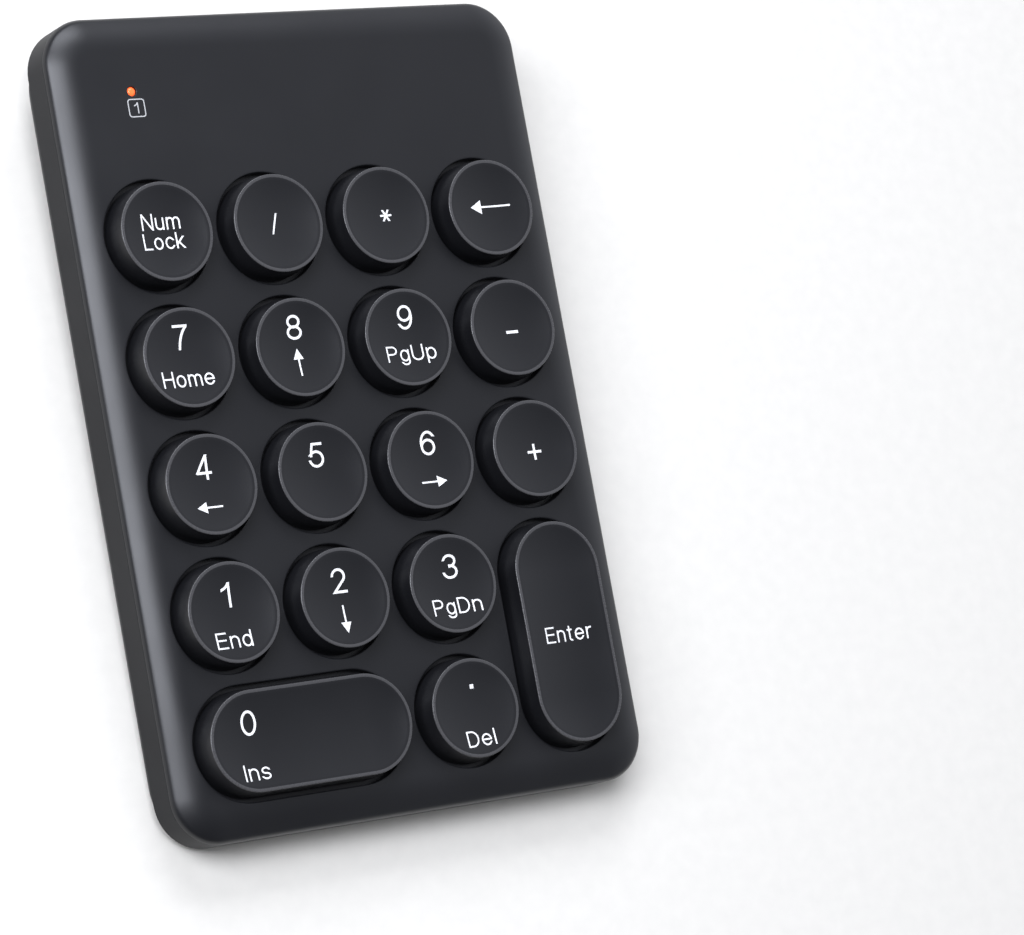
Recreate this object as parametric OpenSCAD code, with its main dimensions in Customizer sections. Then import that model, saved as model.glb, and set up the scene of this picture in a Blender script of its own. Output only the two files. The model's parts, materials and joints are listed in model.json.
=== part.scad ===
// Wireless numeric keypad: a shallow wedge-shaped case with eighteen round-ended keys,
// a membrane switch stack, a controller board, two cells and a sliding battery door.
//
// Two frames are used. The row frame has +Z up, +Y to the rear and its origin on the
// resting plane under the middle of the case. The deck frame lies in the top surface of
// the case, which leans back by the wedge angle: on_deck() moves from one to the other.

/* [Key grid] */
// Distance between the centres of neighbouring columns
pitch_x = 19.05; // [18.9:0.01:19.2]
// Distance between the centres of neighbouring rows
pitch_y = 19.24; // [19.1:0.01:19.4]
// Distance from the rear edge of the case to the first row of keys
rear_strip = 34.3; // [34.2:0.05:34.6]

/* [Case] */
// Width of the case
case_w = 83; // [83:0.1:85]
// Length of the case, front to rear
case_l = 125.3; // [125.2:0.1:127]
// Plan radius of the corners of the case
corner_r = 7.5; // [7:0.1:9]
// Height of the straight side below the parting line
band_h = 5.2; // [5.2:0.1:6]
// Depth of the belly below the side at the front edge
belly_front = 1.2; // [1.2:0.1:1.8]
// Wedge angle between the deck and the resting plane
tilt = 3.3; // [3.2:0.05:3.6]
// Thickness of the deck
deck_t = 1.6; // [1.4:0.1:1.7]
// Height of the feet below the case
foot_h = 0.8; // [0.5:0.1:1.2]

/* [Keys] */
// Radius of the rim round the top of a key
rim_r = 7.61; // [7.4:0.01:7.7]
// Radius of a key where it meets the deck
skirt_r = 8.05; // [7.9:0.01:8.1]
// Radius of the openings in the deck
opening_r = 8.72; // [8.5:0.01:8.8]
// Height of a key's rim above the deck
key_h = 3.48; // [3.3:0.01:3.6]
// Depth of the dish in the top of a key
dish_depth = 0.8; // [0.5:0.05:0.9]
// Travel of a key
travel = 2.0; // [1.6:0.1:2.0]

/* [Status light] */
// Distance of the status light from the rear edge
light_from_rear = 11.9; // [11:0.1:13]
// Radius of the light pipe at the deck
light_r = 0.7; // [0.5:0.05:0.9]

/* [Hidden] */
$fn = 48;
slack = 1; // cutters run past a face by this much
far = 200; // larger than the whole case
deep = 25; // further below the deck than anything inside

// Keys: name, first column, first row, columns spanned past the first, rows spanned past the first
KEYS = [
    ["num_lock", 0, 0, 0, 0], ["divide", 1, 0, 0, 0], ["multiply", 2, 0, 0, 0], ["backspace", 3, 0, 0, 0],
    ["7", 0, 1, 0, 0], ["8", 1, 1, 0, 0], ["9", 2, 1, 0, 0], ["minus", 3, 1, 0, 0],
    ["4", 0, 2, 0, 0], ["5", 1, 2, 0, 0], ["6", 2, 2, 0, 0], ["plus", 3, 2, 0, 0],
    ["1", 0, 3, 0, 0], ["2", 1, 3, 0, 0], ["3", 2, 3, 0, 0], ["enter", 3, 3, 0, 1],
    ["0", 0, 4, 1, 0], ["decimal", 2, 4, 0, 0]
];

// Edge of the deck: a wide arc that turns down a little, then a tight one down to the parting line
edge_run = 5.4;
edge_small_r = 1.4;
edge_turn = 28;
edge_big_r = (edge_run - edge_small_r * (1 - sin(edge_turn))) / sin(edge_turn);
edge_drop = edge_big_r * (1 - cos(edge_turn)) + edge_small_r * cos(edge_turn);
side_foot = edge_drop + band_h; // depth of the side's lower edge below the deck

// Belly: a soft wedge under the side, with its own plan corners
belly_r = 13;
belly_corner_r = 10;
belly_start = 15;
belly_step = 0.1;
belly_lap = 1; // the belly runs this far up inside the side
belly_trim = 0.4; // the lowest part of the belly's round, which is left out
hollow_lap = 1.5; // the belly's hollow runs this far up inside the side
shell_t = 1.6;
wall_t = 1.8;
floor_t = 1.5;

// Lip of the cover inside the side: distances from the outline
lip_outer = 2;
lip_inner = 3.4;

// The deck frame's origin in the row frame, placed so that the case is centred on the origin
deck_y = -(side_foot + edge_drop) / 2 * sin(tilt);
deck_z = foot_h + (side_foot + belly_front) * cos(tilt) + case_l / 2 * sin(tilt);
rear = case_l / 2;
first_row = rear - rear_strip;

// Heights below the deck of the parts inside
ceiling = 1.7; // underside of a key's top, above the deck
flange_top = -1.75;
flange_bottom = -2.25;
flange_r = 9.1;
lip_foot = -4.4;
plate_foot = -5.1;
sheet_top = -6.2;
sheet_t = 0.2;
backing_top = sheet_top - 3 * sheet_t;
backing_foot = backing_top - 0.4;
board_top = -8;
board_foot = -9;
boss_foot = -6.2;
screw_seat = -7.2;
screw_head_h = 1.1;

// Stack of the guide plate, the sheets and the backing plate, in the deck frame
stack_rear = 37.3;
stack_front = -59.9;
stack_inset = 2.7; // from the sides of the case
stack_corner_r = 8;
guide_rim_t = 1.2; // wall under the edge of the guide plate
spacer_hole_r = 2.5;

// Walls of a key and of its dish
key_wall = 0.95;
rim_w = 0.45;
ceiling_step = 0.4;

// Plungers, the barrels that guide them and the domes below them
plunger_r = 2.7;
plunger_lap = 0.2; // the plunger runs this far into the key's top
barrel_bore_r = 3;
barrel_r = 4;
barrel_top = -0.7;
plunger_foot = -3.7;
dome_top = -3.72;
dome_base_r = 5;
dome_base_t = 0.3;
dome_shoulder_r = 4.3;
dome_neck_r = 2.5;
dome_button_r = 2.3;
dome_skin = 0.4;

// Screws that hold the case together, in the deck frame
screw_r = 0.95;
screw_len = 4.8;
head_r = 1.8;
cross_l = 2.2;
cross_w = 0.5;
cross_depth = 0.6;
pilot_r = 1;
pilot_depth = 4.2;
boss_r = 2; // boss under the deck
post_r = 2.8; // post up from the floor
screw_pass_r = 1.15;
head_pass_r = 2;
screw_hole_r = 3.1; // holes in the stack
screw_x = pitch_x;
CORNER_SCREW = [36.9, 5.55 - rear];
MIDDLE_SCREW = [screw_x, first_row - 2.5 * pitch_y];
REAR_SCREW = [33.6, 40];
SCREWS = [
    for (side = [-1, 1])
        for (p = [CORNER_SCREW, MIDDLE_SCREW, REAR_SCREW])
            [side * p[0], p[1]]
];

// Ribs that carry the stack: half width and distances from the middle
rib_t = 1.2;
rib_half = 37;
RIB_Y = [-42, -8];
rear_rib_y = 35;
REAR_RIB_X = [-24, 36];

// Battery bay, in the deck frame
bay_half = 24.2;
bay_front = 38.5;
bay_wall_t = 1.2;
bay_front_t = 0.8;
bay_top = -4.6;
cell_r = 5.25;
cell_body = 43.5;
button_r = 1.9;
button_h = 1;
contact_t = 0.3;
contact_h = 7.2;
contact_raise = 1;
contact_half = 4;
button_contact_half = 3.5;
coil_base_r = 3.2;
coil_tip_r = 2;
coil_wire_r = 0.25;
coil_turns = 3;
cell_z = foot_h + floor_t + 0.95 + cell_r; // row frame
CELL_Y = [54.6, 44];
door_front = bay_front + 0.95;
door_gap = 0.25;

// Grip grooves and hooks of the battery door, in the row frame
grooves = 5;
groove_pitch = 1.6;
groove_w = 0.8;
groove_l = 16;
groove_depth = 0.5;
groove_first_y = 50;
hook_x = 11;
hook_w = 6;
hook_l = 5;
hook_t = 0.6;
hook_raise = 0.1;
hook_foot_l = 1.4;
hook_foot_h = 1;
hook_y = 36.2;
hook_gap = 0.3;
hook_slot_y = 34;
hook_slot_l = 7;
hook_slot_h = 1;

// Circuit board with its chip, in the deck frame
board_w = 66;
board_y = 8;
board_l = 25;
ARM_START = [-30.5, 20]; // the arm carries the status light to the rear
ARM_SIZE = [3.9, 34];
board_post_r = 1.8;
board_peg_r = 0.9;
board_hole_r = 1;
peg_rise = 0.2;
BOARD_POSTS = [[-30, 11], [30, 11], [30, 30], [-28.6, 40]];
CHIP_AT = [5, 17];
CHIP = [6, 6, 0.9];
LED = [2.8, 3.5, 1];

// Status light and power switch, in the deck frame
light_x = -1.5 * pitch_x;
light_y = rear - light_from_rear;
sleeve_r = 2.3;
sleeve_foot = -3;
sleeve_bore_r = 1.55;
sleeve_bore_h = 1.3;
pipe_foot = -6.9;
pipe_step = -1.8;
pipe_r = 1.4;
pipe_sink = 0.05; // the pipe ends this far below the deck
pipe_lap = 0.2;
pipe_gap = 0.05;
switch_x = -12;
switch_y = 20;
switch_foot = -11.8;
switch_travel = 2.5;
SWITCH = [9, 4, 2.8];
SWITCH_SLOT = [4.8, 2.2, 1.6];
switch_opening_l = 4.2;
switch_opening_r = 1.7;
switch_opening_top = -11;
KNOB = [3.2, 2.7, 1.25];
knob_foot = -13.2;
KNOB_STEM = [1.6, 1.6, 1.6];
stem_foot = -12;

// Feet, in the row frame
foot_r = 3.8;
foot_sink = 0.7;
foot_gap = 0.1;
FEET = [for (x = [-29.5, 29.5]) for (y = [-52, 46]) [x, y]];

function key_x(k) = (k[1] + k[3] / 2 - 1.5) * pitch_x;
function key_y(k) = first_row - (k[2] + k[4] / 2) * pitch_y;
function key_len(k) = k[3] * pitch_x + k[4] * pitch_y;
function key_turn(k) = k[4] > 0 ? 90 : 0;

module on_deck() {
    translate([0, deck_y, deck_z]) rotate([tilt, 0, 0]) children();
}

// Draws something of the row frame while the deck frame is in use
module in_row() {
    rotate([-tilt, 0, 0]) translate([0, -deck_y, -deck_z]) children();
}

module at_key(k) {
    translate([key_x(k), key_y(k), 0]) rotate([0, 0, key_turn(k)]) children();
}

module round_rect(w, l, r) {
    square([w - 2 * r, l], center = true);
    square([w, l - 2 * r], center = true);
    for (x = [-1, 1], y = [-1, 1])
        translate([x * (w / 2 - r), y * (l / 2 - r)]) circle(r);
}

// A rounded rectangle inset from the case's outline, from z0 up to z1
module inset_block(inset, z0, z1) {
    translate([0, 0, z0]) linear_extrude(z1 - z0)
        round_rect(case_w - 2 * inset, case_l - 2 * inset, corner_r - inset);
}

// Carries a profile round the case. The profile's x is 0 at the outline and -r at the corner's centre
module round_case(r) {
    half_w = case_w / 2 - r;
    half_l = case_l / 2 - r;
    for (c = [[1, 1, 0], [-1, 1, 90], [-1, -1, 180], [1, -1, 270]])
        translate([c[0] * half_w, c[1] * half_l, 0]) rotate([0, 0, c[2]])
            rotate_extrude(angle = 90) translate([r, 0]) children();
    for (side = [0, 180]) rotate([0, 0, side]) {
        translate([half_w + r, half_l, 0]) rotate([90, 0, 0]) linear_extrude(2 * half_l) children();
        translate([-half_w, half_l + r, 0]) rotate([90, 0, 90]) linear_extrude(2 * half_w) children();
    }
}

// The deck's rounded edge, down to the parting line
module edge_profile() {
    knee = edge_big_r * sin(edge_turn) - edge_run;
    translate([-corner_r, -edge_drop]) square([corner_r - edge_run, edge_drop]);
    intersection() {
        translate([-edge_run, -edge_big_r]) circle(edge_big_r);
        translate([-edge_run, -edge_drop]) square([edge_run + knee, edge_drop]);
    }
    intersection() {
        translate([-edge_small_r, -edge_drop]) circle(edge_small_r);
        translate([knee, -edge_drop]) square([-knee, edge_drop]);
    }
}

// The belly's side in section, thinner by cut
module belly_profile(cut, top) {
    centre_x = -belly_r * cos(belly_start);
    centre_z = belly_r * sin(belly_start) - side_foot;
    depth = belly_r - cut - belly_trim;
    intersection() {
        translate([centre_x, centre_z]) circle(belly_r - cut);
        translate([-belly_corner_r, centre_z - depth])
            square([belly_corner_r - belly_step, top - centre_z + depth]);
    }
}

module belly(cut, top) {
    centre_z = belly_r * sin(belly_start) - side_foot;
    low = centre_z - belly_r + cut + belly_trim;
    round_case(belly_corner_r) belly_profile(cut, top);
    translate([belly_corner_r - case_w / 2, belly_corner_r - case_l / 2, low])
        cube([case_w - 2 * belly_corner_r, case_l - 2 * belly_corner_r, top - low]);
}

module above(z) {
    in_row() translate([-far / 2, -far / 2, z]) cube([far, far, far / 2]);
}

module lower_outside() {
    inset_block(0, -side_foot, -edge_drop);
    intersection() {
        belly(0, belly_lap - side_foot);
        above(foot_h);
    }
}

module lower_hollow() {
    inset_block(wall_t, hollow_lap - belly_step - side_foot, slack - edge_drop);
    intersection() {
        belly(shell_t, hollow_lap - side_foot);
        above(foot_h + floor_t);
    }
}

// The block of space that the battery door takes, smaller by gap
module door_space(gap) {
    half = bay_half - gap;
    translate([-half, door_front + gap, -2 * deep])
        cube([2 * half, 2 * deep, 2 * deep - side_foot - gap]);
}

module case_shell() {
    difference() {
        lower_outside();
        lower_hollow();
    }
}

module stack_area(inset) {
    width = case_w - 2 * (stack_inset + inset);
    length = stack_rear - stack_front - 2 * inset;
    translate([0, (stack_rear + stack_front) / 2]) round_rect(width, length, stack_corner_r - inset);
}

// Outline of the stack under the keys, with clearance round the screws
module stack_outline() {
    difference() {
        stack_area(0);
        for (p = SCREWS) translate(p) circle(screw_hole_r);
    }
}

module stack_sheet(top, t) {
    on_deck() translate([0, 0, top - t]) linear_extrude(t) stack_outline();
}

// A turned profile with rounded ends len apart, or a plain turned one where len is 0
module pill(len, points) {
    if (len == 0) {
        rotate_extrude() polygon(points);
    } else {
        for (side = [0, 180]) rotate([0, 0, side]) translate([len / 2, 0, 0])
            rotate_extrude(angle = 180, start = -90) polygon(points);
        translate([-len / 2, 0, 0]) rotate([90, 0, 90]) linear_extrude(len) {
            polygon(points);
            mirror([1, 0]) polygon(points);
        }
    }
}

module slot_2d(len, r) {
    for (side = [-1, 1]) translate([side * len / 2, 0]) circle(r);
    if (len > 0) square([len, 2 * r], center = true);
}

// A ball, or a bar with round ends, that hollows the top of a key
module dish(len) {
    flat_r = rim_r - rim_w;
    r = (flat_r * flat_r + dish_depth * dish_depth) / (2 * dish_depth);
    translate([0, 0, key_h + r - dish_depth])
        if (len == 0) {
            sphere(r);
        } else {
            rotate([0, 90, 0]) rotate_extrude() intersection() {
                union() {
                    for (side = [-1, 1]) translate([0, side * len / 2]) circle(r);
                    translate([0, -len / 2]) square([r, len]);
                }
                translate([0, -far]) square([far, 2 * far]);
            }
        }
}

// A key stands on one plunger, or on three along its length
function plungers(len) = len == 0 ? [0] : [-len / 2, 0, len / 2];

module keycap(len) {
    inner_r = skirt_r - key_wall;
    difference() {
        pill(len, [
            [0, key_h], [rim_r, key_h], [skirt_r, 0], [skirt_r, flange_top],
            [flange_r, flange_top], [flange_r, flange_bottom],
            [inner_r, flange_bottom], [inner_r, ceiling - ceiling_step], [rim_r - key_wall, ceiling], [0, ceiling]
        ]);
        dish(len);
    }
    for (x = plungers(len))
        translate([x, 0, plunger_foot]) cylinder(r = plunger_r, h = ceiling + plunger_lap - plunger_foot);
}

module key_node(k) {
    color("#35363a") on_deck() at_key(k) keycap(key_len(k));
}

module dome() {
    neck = plate_foot + 0.1;
    under = neck - dome_skin;
    rotate_extrude() polygon([
        [dome_base_r, sheet_top], [dome_base_r, sheet_top + dome_base_t], [dome_shoulder_r, sheet_top + dome_base_t],
        [dome_neck_r, neck], [dome_button_r, neck], [dome_button_r, dome_top], [0, dome_top],
        [0, under], [dome_button_r - dome_skin, under], [dome_shoulder_r - 0.6, sheet_top]
    ]);
}

module dome_node(k) {
    color("#c9cdd0") on_deck() at_key(k) dome();
}

module top_cover() {
    color("#2b2c30") on_deck() difference() {
        union() {
            difference() {
                round_case(corner_r) edge_profile();
                inset_block(lip_inner, -2 * deep, -deck_t);
            }
            translate([corner_r - case_w / 2, corner_r - case_l / 2, -deck_t])
                cube([case_w - 2 * corner_r, case_l - 2 * corner_r, deck_t]);
            difference() {
                inset_block(lip_outer, lip_foot, -deck_t);
                inset_block(lip_inner, lip_foot - slack, -deck_t);
            }
            for (p = SCREWS) translate([p[0], p[1], boss_foot]) cylinder(r = boss_r, h = -deck_t - boss_foot);
            translate([light_x, light_y, sleeve_foot]) cylinder(r = sleeve_r, h = -deck_t - sleeve_foot);
        }
        translate([0, 0, -3 * deck_t]) linear_extrude(4 * deck_t)
            for (k = KEYS) at_key(k) slot_2d(key_len(k), opening_r);
        for (p = SCREWS) translate([p[0], p[1], boss_foot - slack]) cylinder(r = pilot_r, h = slack + pilot_depth);
        translate([light_x, light_y, sleeve_foot - slack]) cylinder(r = sleeve_bore_r, h = slack + sleeve_bore_h);
        translate([light_x, light_y, sleeve_foot]) cylinder(r = light_r + pipe_gap, h = slack - sleeve_foot);
    }
}

// Cross ribs that carry the stack, and the walls of the battery bay
module inner_ribs() {
    for (y = RIB_Y)
        translate([-rib_half, y - rib_t / 2, -deep]) cube([2 * rib_half, rib_t, deep + backing_foot]);
    translate([REAR_RIB_X[0], rear_rib_y, -deep])
        cube([REAR_RIB_X[1] - REAR_RIB_X[0], rib_t, deep + backing_foot]);
    translate([-bay_half - bay_wall_t, bay_front - bay_front_t, -deep])
        cube([2 * (bay_half + bay_wall_t), bay_front_t, deep + bay_top]);
    for (side = [-1, 1])
        translate([side * (bay_half + bay_wall_t / 2) - bay_wall_t / 2, bay_front - bay_front_t, -deep])
            cube([bay_wall_t, rear - bay_front, deep + bay_top]);
}

// A round post at p, from far below up to top
module post(p, r, top) {
    translate([p[0], p[1], -deep]) cylinder(r = r, h = deep + top);
}

module bottom_cover() {
    color("#27282c") on_deck() difference() {
        union() {
            difference() {
                case_shell();
                door_space(0);
            }
            intersection() {
                lower_outside();
                union() {
                    difference() {
                        inner_ribs();
                        door_space(0);
                    }
                    for (p = SCREWS) post(p, post_r, boss_foot);
                    for (p = BOARD_POSTS) {
                        post(p, board_post_r, board_foot);
                        post(p, board_peg_r, board_top + peg_rise);
                    }
                }
            }
        }
        for (p = SCREWS) {
            translate([p[0], p[1], screw_seat - slack])
                cylinder(r = screw_pass_r, h = boss_foot - screw_seat + 2 * slack);
            post(p, head_pass_r, screw_seat);
        }
        for (side = [-1, 1])
            in_row() translate([side * hook_x - hook_w / 2 - hook_gap, hook_slot_y, foot_h + floor_t])
                cube([hook_w + 2 * hook_gap, hook_slot_l, hook_slot_h]);
        translate([switch_x, switch_y, -deep]) linear_extrude(deep + switch_opening_top)
            slot_2d(switch_opening_l, switch_opening_r);
        in_row() for (p = FEET) translate([p[0], p[1], foot_h - slack])
            cylinder(r = foot_r + foot_gap, h = foot_sink + slack);
    }
}

module battery_door() {
    color("#27282c") on_deck() {
        difference() {
            intersection() {
                case_shell();
                door_space(door_gap);
            }
            for (i = [0 : grooves - 1])
                in_row() translate([-groove_l / 2, groove_first_y + groove_pitch * i, foot_h - slack])
                    cube([groove_l, groove_w, slack + groove_depth]);
        }
        for (side = [-1, 1])
            in_row() translate([side * hook_x - hook_w / 2, hook_y, foot_h + floor_t + hook_raise])
                cube([hook_w, hook_l, hook_t]);
        for (side = [-1, 1])
            in_row() translate([side * hook_x - hook_w / 2, door_front + hook_t, foot_h + floor_t - hook_foot_h / 2])
                cube([hook_w, hook_foot_l, hook_foot_h]);
    }
}

module rubber_feet() {
    color("#18181a") for (p = FEET) translate([p[0], p[1], 0]) cylinder(r = foot_r, h = foot_h + foot_sink);
}

module case_screws() {
    color("silver") on_deck() for (p = SCREWS) translate([p[0], p[1], screw_seat]) {
        cylinder(r = screw_r, h = screw_len);
        difference() {
            translate([0, 0, -screw_head_h]) cylinder(r = head_r, h = screw_head_h);
            for (turn = [0, 90]) rotate([0, 0, turn])
                translate([-cross_l / 2, -cross_w / 2, -screw_head_h - slack])
                    cube([cross_l, cross_w, slack + cross_depth]);
        }
    }
}

module guide_plate() {
    color("#d9dadb") on_deck() difference() {
        union() {
            translate([0, 0, plate_foot]) linear_extrude(lip_foot - plate_foot) stack_outline();
            translate([0, 0, sheet_top]) linear_extrude(plate_foot - sheet_top) difference() {
                stack_outline();
                stack_area(guide_rim_t);
            }
            for (k = KEYS, x = plungers(key_len(k)))
                at_key(k) translate([x, 0, plate_foot]) cylinder(r = barrel_r, h = barrel_top - plate_foot);
        }
        for (k = KEYS, x = plungers(key_len(k)))
            at_key(k) translate([x, 0, plate_foot - slack])
                cylinder(r = barrel_bore_r, h = barrel_top - plate_foot + 2 * slack);
    }
}

module upper_circuit_sheet() {
    color("#b9d7cf") stack_sheet(sheet_top, sheet_t);
}

module spacer_sheet() {
    color("#dfe8ea") on_deck() difference() {
        translate([0, 0, sheet_top - 2 * sheet_t]) linear_extrude(sheet_t) stack_outline();
        for (k = KEYS) translate([key_x(k), key_y(k), sheet_top - 3 * sheet_t])
            cylinder(r = spacer_hole_r, h = 3 * sheet_t);
    }
}

module lower_circuit_sheet() {
    color("#b9d7cf") stack_sheet(sheet_top - 2 * sheet_t, sheet_t);
}

module backing_plate() {
    color("#9aa0a6") stack_sheet(backing_top, backing_top - backing_foot);
}

module main_board() {
    color("#1f6b3a") on_deck() translate([0, 0, board_foot]) linear_extrude(board_top - board_foot) difference() {
        union() {
            translate([-board_w / 2, board_y]) square([board_w, board_l]);
            translate(ARM_START) square(ARM_SIZE);
        }
        for (p = BOARD_POSTS) translate(p) circle(board_hole_r);
    }
}

module control_chip() {
    color("#202020") on_deck() translate([CHIP_AT[0], CHIP_AT[1], board_foot - CHIP[2]]) cube(CHIP);
}

module status_led() {
    color("#ff6a3c") on_deck() translate([light_x - LED[0] / 2, light_y - LED[1] / 2, board_top]) cube(LED);
}

module light_pipe() {
    color("#f2f2f2") on_deck() translate([light_x, light_y, 0]) {
        translate([0, 0, pipe_step - pipe_lap]) cylinder(r = light_r, h = pipe_lap - pipe_step - pipe_sink);
        translate([0, 0, pipe_foot]) cylinder(r = pipe_r, h = pipe_step - pipe_foot);
    }
}

module switch_body() {
    color("#c8ccd0") on_deck() translate([switch_x, switch_y, switch_foot]) difference() {
        translate([-SWITCH[0] / 2, -SWITCH[1] / 2, 0]) cube(SWITCH);
        translate([-SWITCH_SLOT[0] / 2, -SWITCH_SLOT[1] / 2, -slack])
            cube([SWITCH_SLOT[0], SWITCH_SLOT[1], slack + SWITCH_SLOT[2]]);
    }
}

module switch_knob() {
    color("#3a3b3f") on_deck() translate([switch_x - switch_travel / 2, switch_y, 0]) {
        translate([-KNOB[0] / 2, -KNOB[1] / 2, knob_foot]) cube(KNOB);
        translate([-KNOB_STEM[0] / 2, -KNOB_STEM[1] / 2, stem_foot]) cube(KNOB_STEM);
    }
}

// A cell lying along X with its positive button towards +X
module cell() {
    rotate([0, 90, 0]) {
        translate([0, 0, bay_half - contact_t - button_h - cell_body]) cylinder(r = cell_r, h = cell_body);
        translate([0, 0, bay_half - contact_t - button_h - slack]) cylinder(r = button_r, h = button_h + slack);
    }
}

module cell_rear() {
    color("#3f6fa8") translate([0, CELL_Y[0], cell_z]) cell();
}

module cell_front() {
    color("#3f6fa8") translate([0, CELL_Y[1], cell_z]) mirror([1, 0, 0]) cell();
}

// A spring-steel plate on a side wall of the bay, behind the cells from y0 to y1
module contact_plate(side, y0, y1) {
    x = side * (bay_half - contact_t / 2) - contact_t / 2;
    translate([x, y0, foot_h + floor_t + contact_raise]) cube([contact_t, y1 - y0, contact_h]);
}

module positive_contact() {
    color("silver") contact_plate(1, CELL_Y[0] - button_contact_half, CELL_Y[0] + button_contact_half);
}

module negative_contact() {
    color("silver") contact_plate(1, CELL_Y[1] - contact_half, CELL_Y[1] + contact_half);
}

module bridge_contact() {
    color("silver") contact_plate(-1, CELL_Y[1] - contact_half, CELL_Y[0] + button_contact_half);
}

// A tapering coil from z = 0 to z = len, swept with a round wire
module coil_spring(len) {
    steps = 14 * coil_turns;
    sides = 6;
    reach = len - 2 * coil_wire_r;
    ring = [for (i = [0 : steps]) let (
        share = i / steps, a = 360 * coil_turns * share, r = coil_base_r + (coil_tip_r - coil_base_r) * share,
        z = coil_wire_r + reach * share)
        for (j = [0 : sides - 1]) let (b = 360 * j / sides, q = r + coil_wire_r * cos(b))
            [q * cos(a), q * sin(a), z + coil_wire_r * sin(b)]];
    faces = concat(
        [[for (j = [0 : sides - 1]) j]],
        [[for (j = [sides - 1 : -1 : 0]) steps * sides + j]],
        [for (i = [0 : steps - 1], j = [0 : sides - 1])
            let (a = i * sides + j, b = i * sides + (j + 1) % sides)
            [a, a + sides, b + sides, b]]
    );
    polyhedron(ring, faces, convexity = 6);
}

module contact_springs() {
    len = 2 * (bay_half - contact_t) - cell_body - button_h;
    color("silver") {
        translate([contact_t - bay_half, CELL_Y[0], cell_z]) rotate([0, 90, 0]) coil_spring(len);
        translate([bay_half - contact_t, CELL_Y[1], cell_z]) rotate([0, -90, 0]) coil_spring(len);
    }
}

top_cover();
bottom_cover();
battery_door();
rubber_feet();
case_screws();
guide_plate();
upper_circuit_sheet();
spacer_sheet();
lower_circuit_sheet();
backing_plate();
main_board();
control_chip();
status_led();
light_pipe();
switch_body();
switch_knob();
cell_rear();
cell_front();
positive_contact();
negative_contact();
bridge_contact();
contact_springs();
for (k = KEYS) {
    key_node(k);
    dome_node(k);
}
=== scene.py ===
"""Looks of the numeric keypad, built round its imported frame.

Shapes are drawn in millimetres in the deck frame: x to the right, y to the rear along the
deck, z out of the deck, with the origin in the middle of the deck's surface. Each finished
mesh is then placed in the row frame, in metres.
"""
import json
import math

import bmesh
import bpy
from bpy.props import FloatProperty, FloatVectorProperty, PointerProperty
from mathutils import Matrix, Vector
from mathutils.geometry import delaunay_2d_cdt


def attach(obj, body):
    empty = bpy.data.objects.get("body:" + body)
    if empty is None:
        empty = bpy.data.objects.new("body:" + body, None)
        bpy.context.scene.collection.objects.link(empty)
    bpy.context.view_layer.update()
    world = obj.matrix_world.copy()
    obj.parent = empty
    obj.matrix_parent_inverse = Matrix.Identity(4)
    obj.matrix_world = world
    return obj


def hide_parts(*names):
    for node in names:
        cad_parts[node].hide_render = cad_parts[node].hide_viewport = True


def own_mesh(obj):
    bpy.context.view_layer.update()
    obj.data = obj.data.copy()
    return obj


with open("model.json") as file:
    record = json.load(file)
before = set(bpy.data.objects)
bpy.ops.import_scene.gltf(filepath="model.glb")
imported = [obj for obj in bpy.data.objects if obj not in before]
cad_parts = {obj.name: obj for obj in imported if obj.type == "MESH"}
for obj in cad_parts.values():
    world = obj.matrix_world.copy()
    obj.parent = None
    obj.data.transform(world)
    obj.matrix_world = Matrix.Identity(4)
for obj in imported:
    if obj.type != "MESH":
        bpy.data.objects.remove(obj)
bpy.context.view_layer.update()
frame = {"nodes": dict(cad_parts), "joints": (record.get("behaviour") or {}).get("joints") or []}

bl_info = {
    "name": "Numeric Keypad",
    "version": (1, 0, 0),
    "blender": (4, 5, 0),
    "location": "View3D > Sidebar > Keypad",
    "description": "Builds the numeric keypad's visible pieces round its packed frame",
    "category": "Object",
}

MM = 0.001
CASE_BODY = "case"
DOOR_BODY = "battery_door"
KNOB_BODY = "switch_knob"

# ---------------------------------------------------------------- the frame's own sizes

JOINTS = {joint["name"]: joint for joint in frame["joints"]}
KEY_NAMES = [
    joint["child"][len("key_"):] for joint in frame["joints"] if joint["child"].startswith("key_")
]
DECK_NORMAL = Vector(JOINTS["press_" + KEY_NAMES[0]]["axis"])
LEAN = math.atan2(-DECK_NORMAL.y, DECK_NORMAL.z)
UNLEAN = Matrix.Rotation(-LEAN, 4, "X")


def box_of(points):
    """Lowest and highest corner of some points."""
    low = Vector([min(point[axis] for point in points) for axis in range(3)])
    high = Vector([max(point[axis] for point in points) for axis in range(3)])
    return low, high


def leaned_box(node):
    """Lowest and highest corner of a CAD node in millimetres, in axes that lean with the deck."""
    return box_of([UNLEAN @ vertex.co / MM for vertex in frame["nodes"][node].data.vertices])


def deck_origin():
    """Middle of the deck's surface, in axes that lean with the deck."""
    low, high = leaned_box("top_cover")
    return Vector(((low.x + high.x) / 2, (low.y + high.y) / 2, high.z))


ORIGIN = deck_origin()
TO_ROW = Matrix.Rotation(LEAN, 4, "X") @ Matrix.Scale(MM, 4) @ Matrix.Translation(ORIGIN)


def deck_box(node):
    """Lowest and highest corner of a CAD node in the deck frame, in millimetres."""
    low, high = leaned_box(node)
    return low - ORIGIN, high - ORIGIN


CASE_LOW, CASE_HIGH = deck_box("top_cover")
CASE_W = CASE_HIGH.x - CASE_LOW.x
CASE_L = CASE_HIGH.y - CASE_LOW.y

# ---------------------------------------------------------------- sizes and colours


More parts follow.
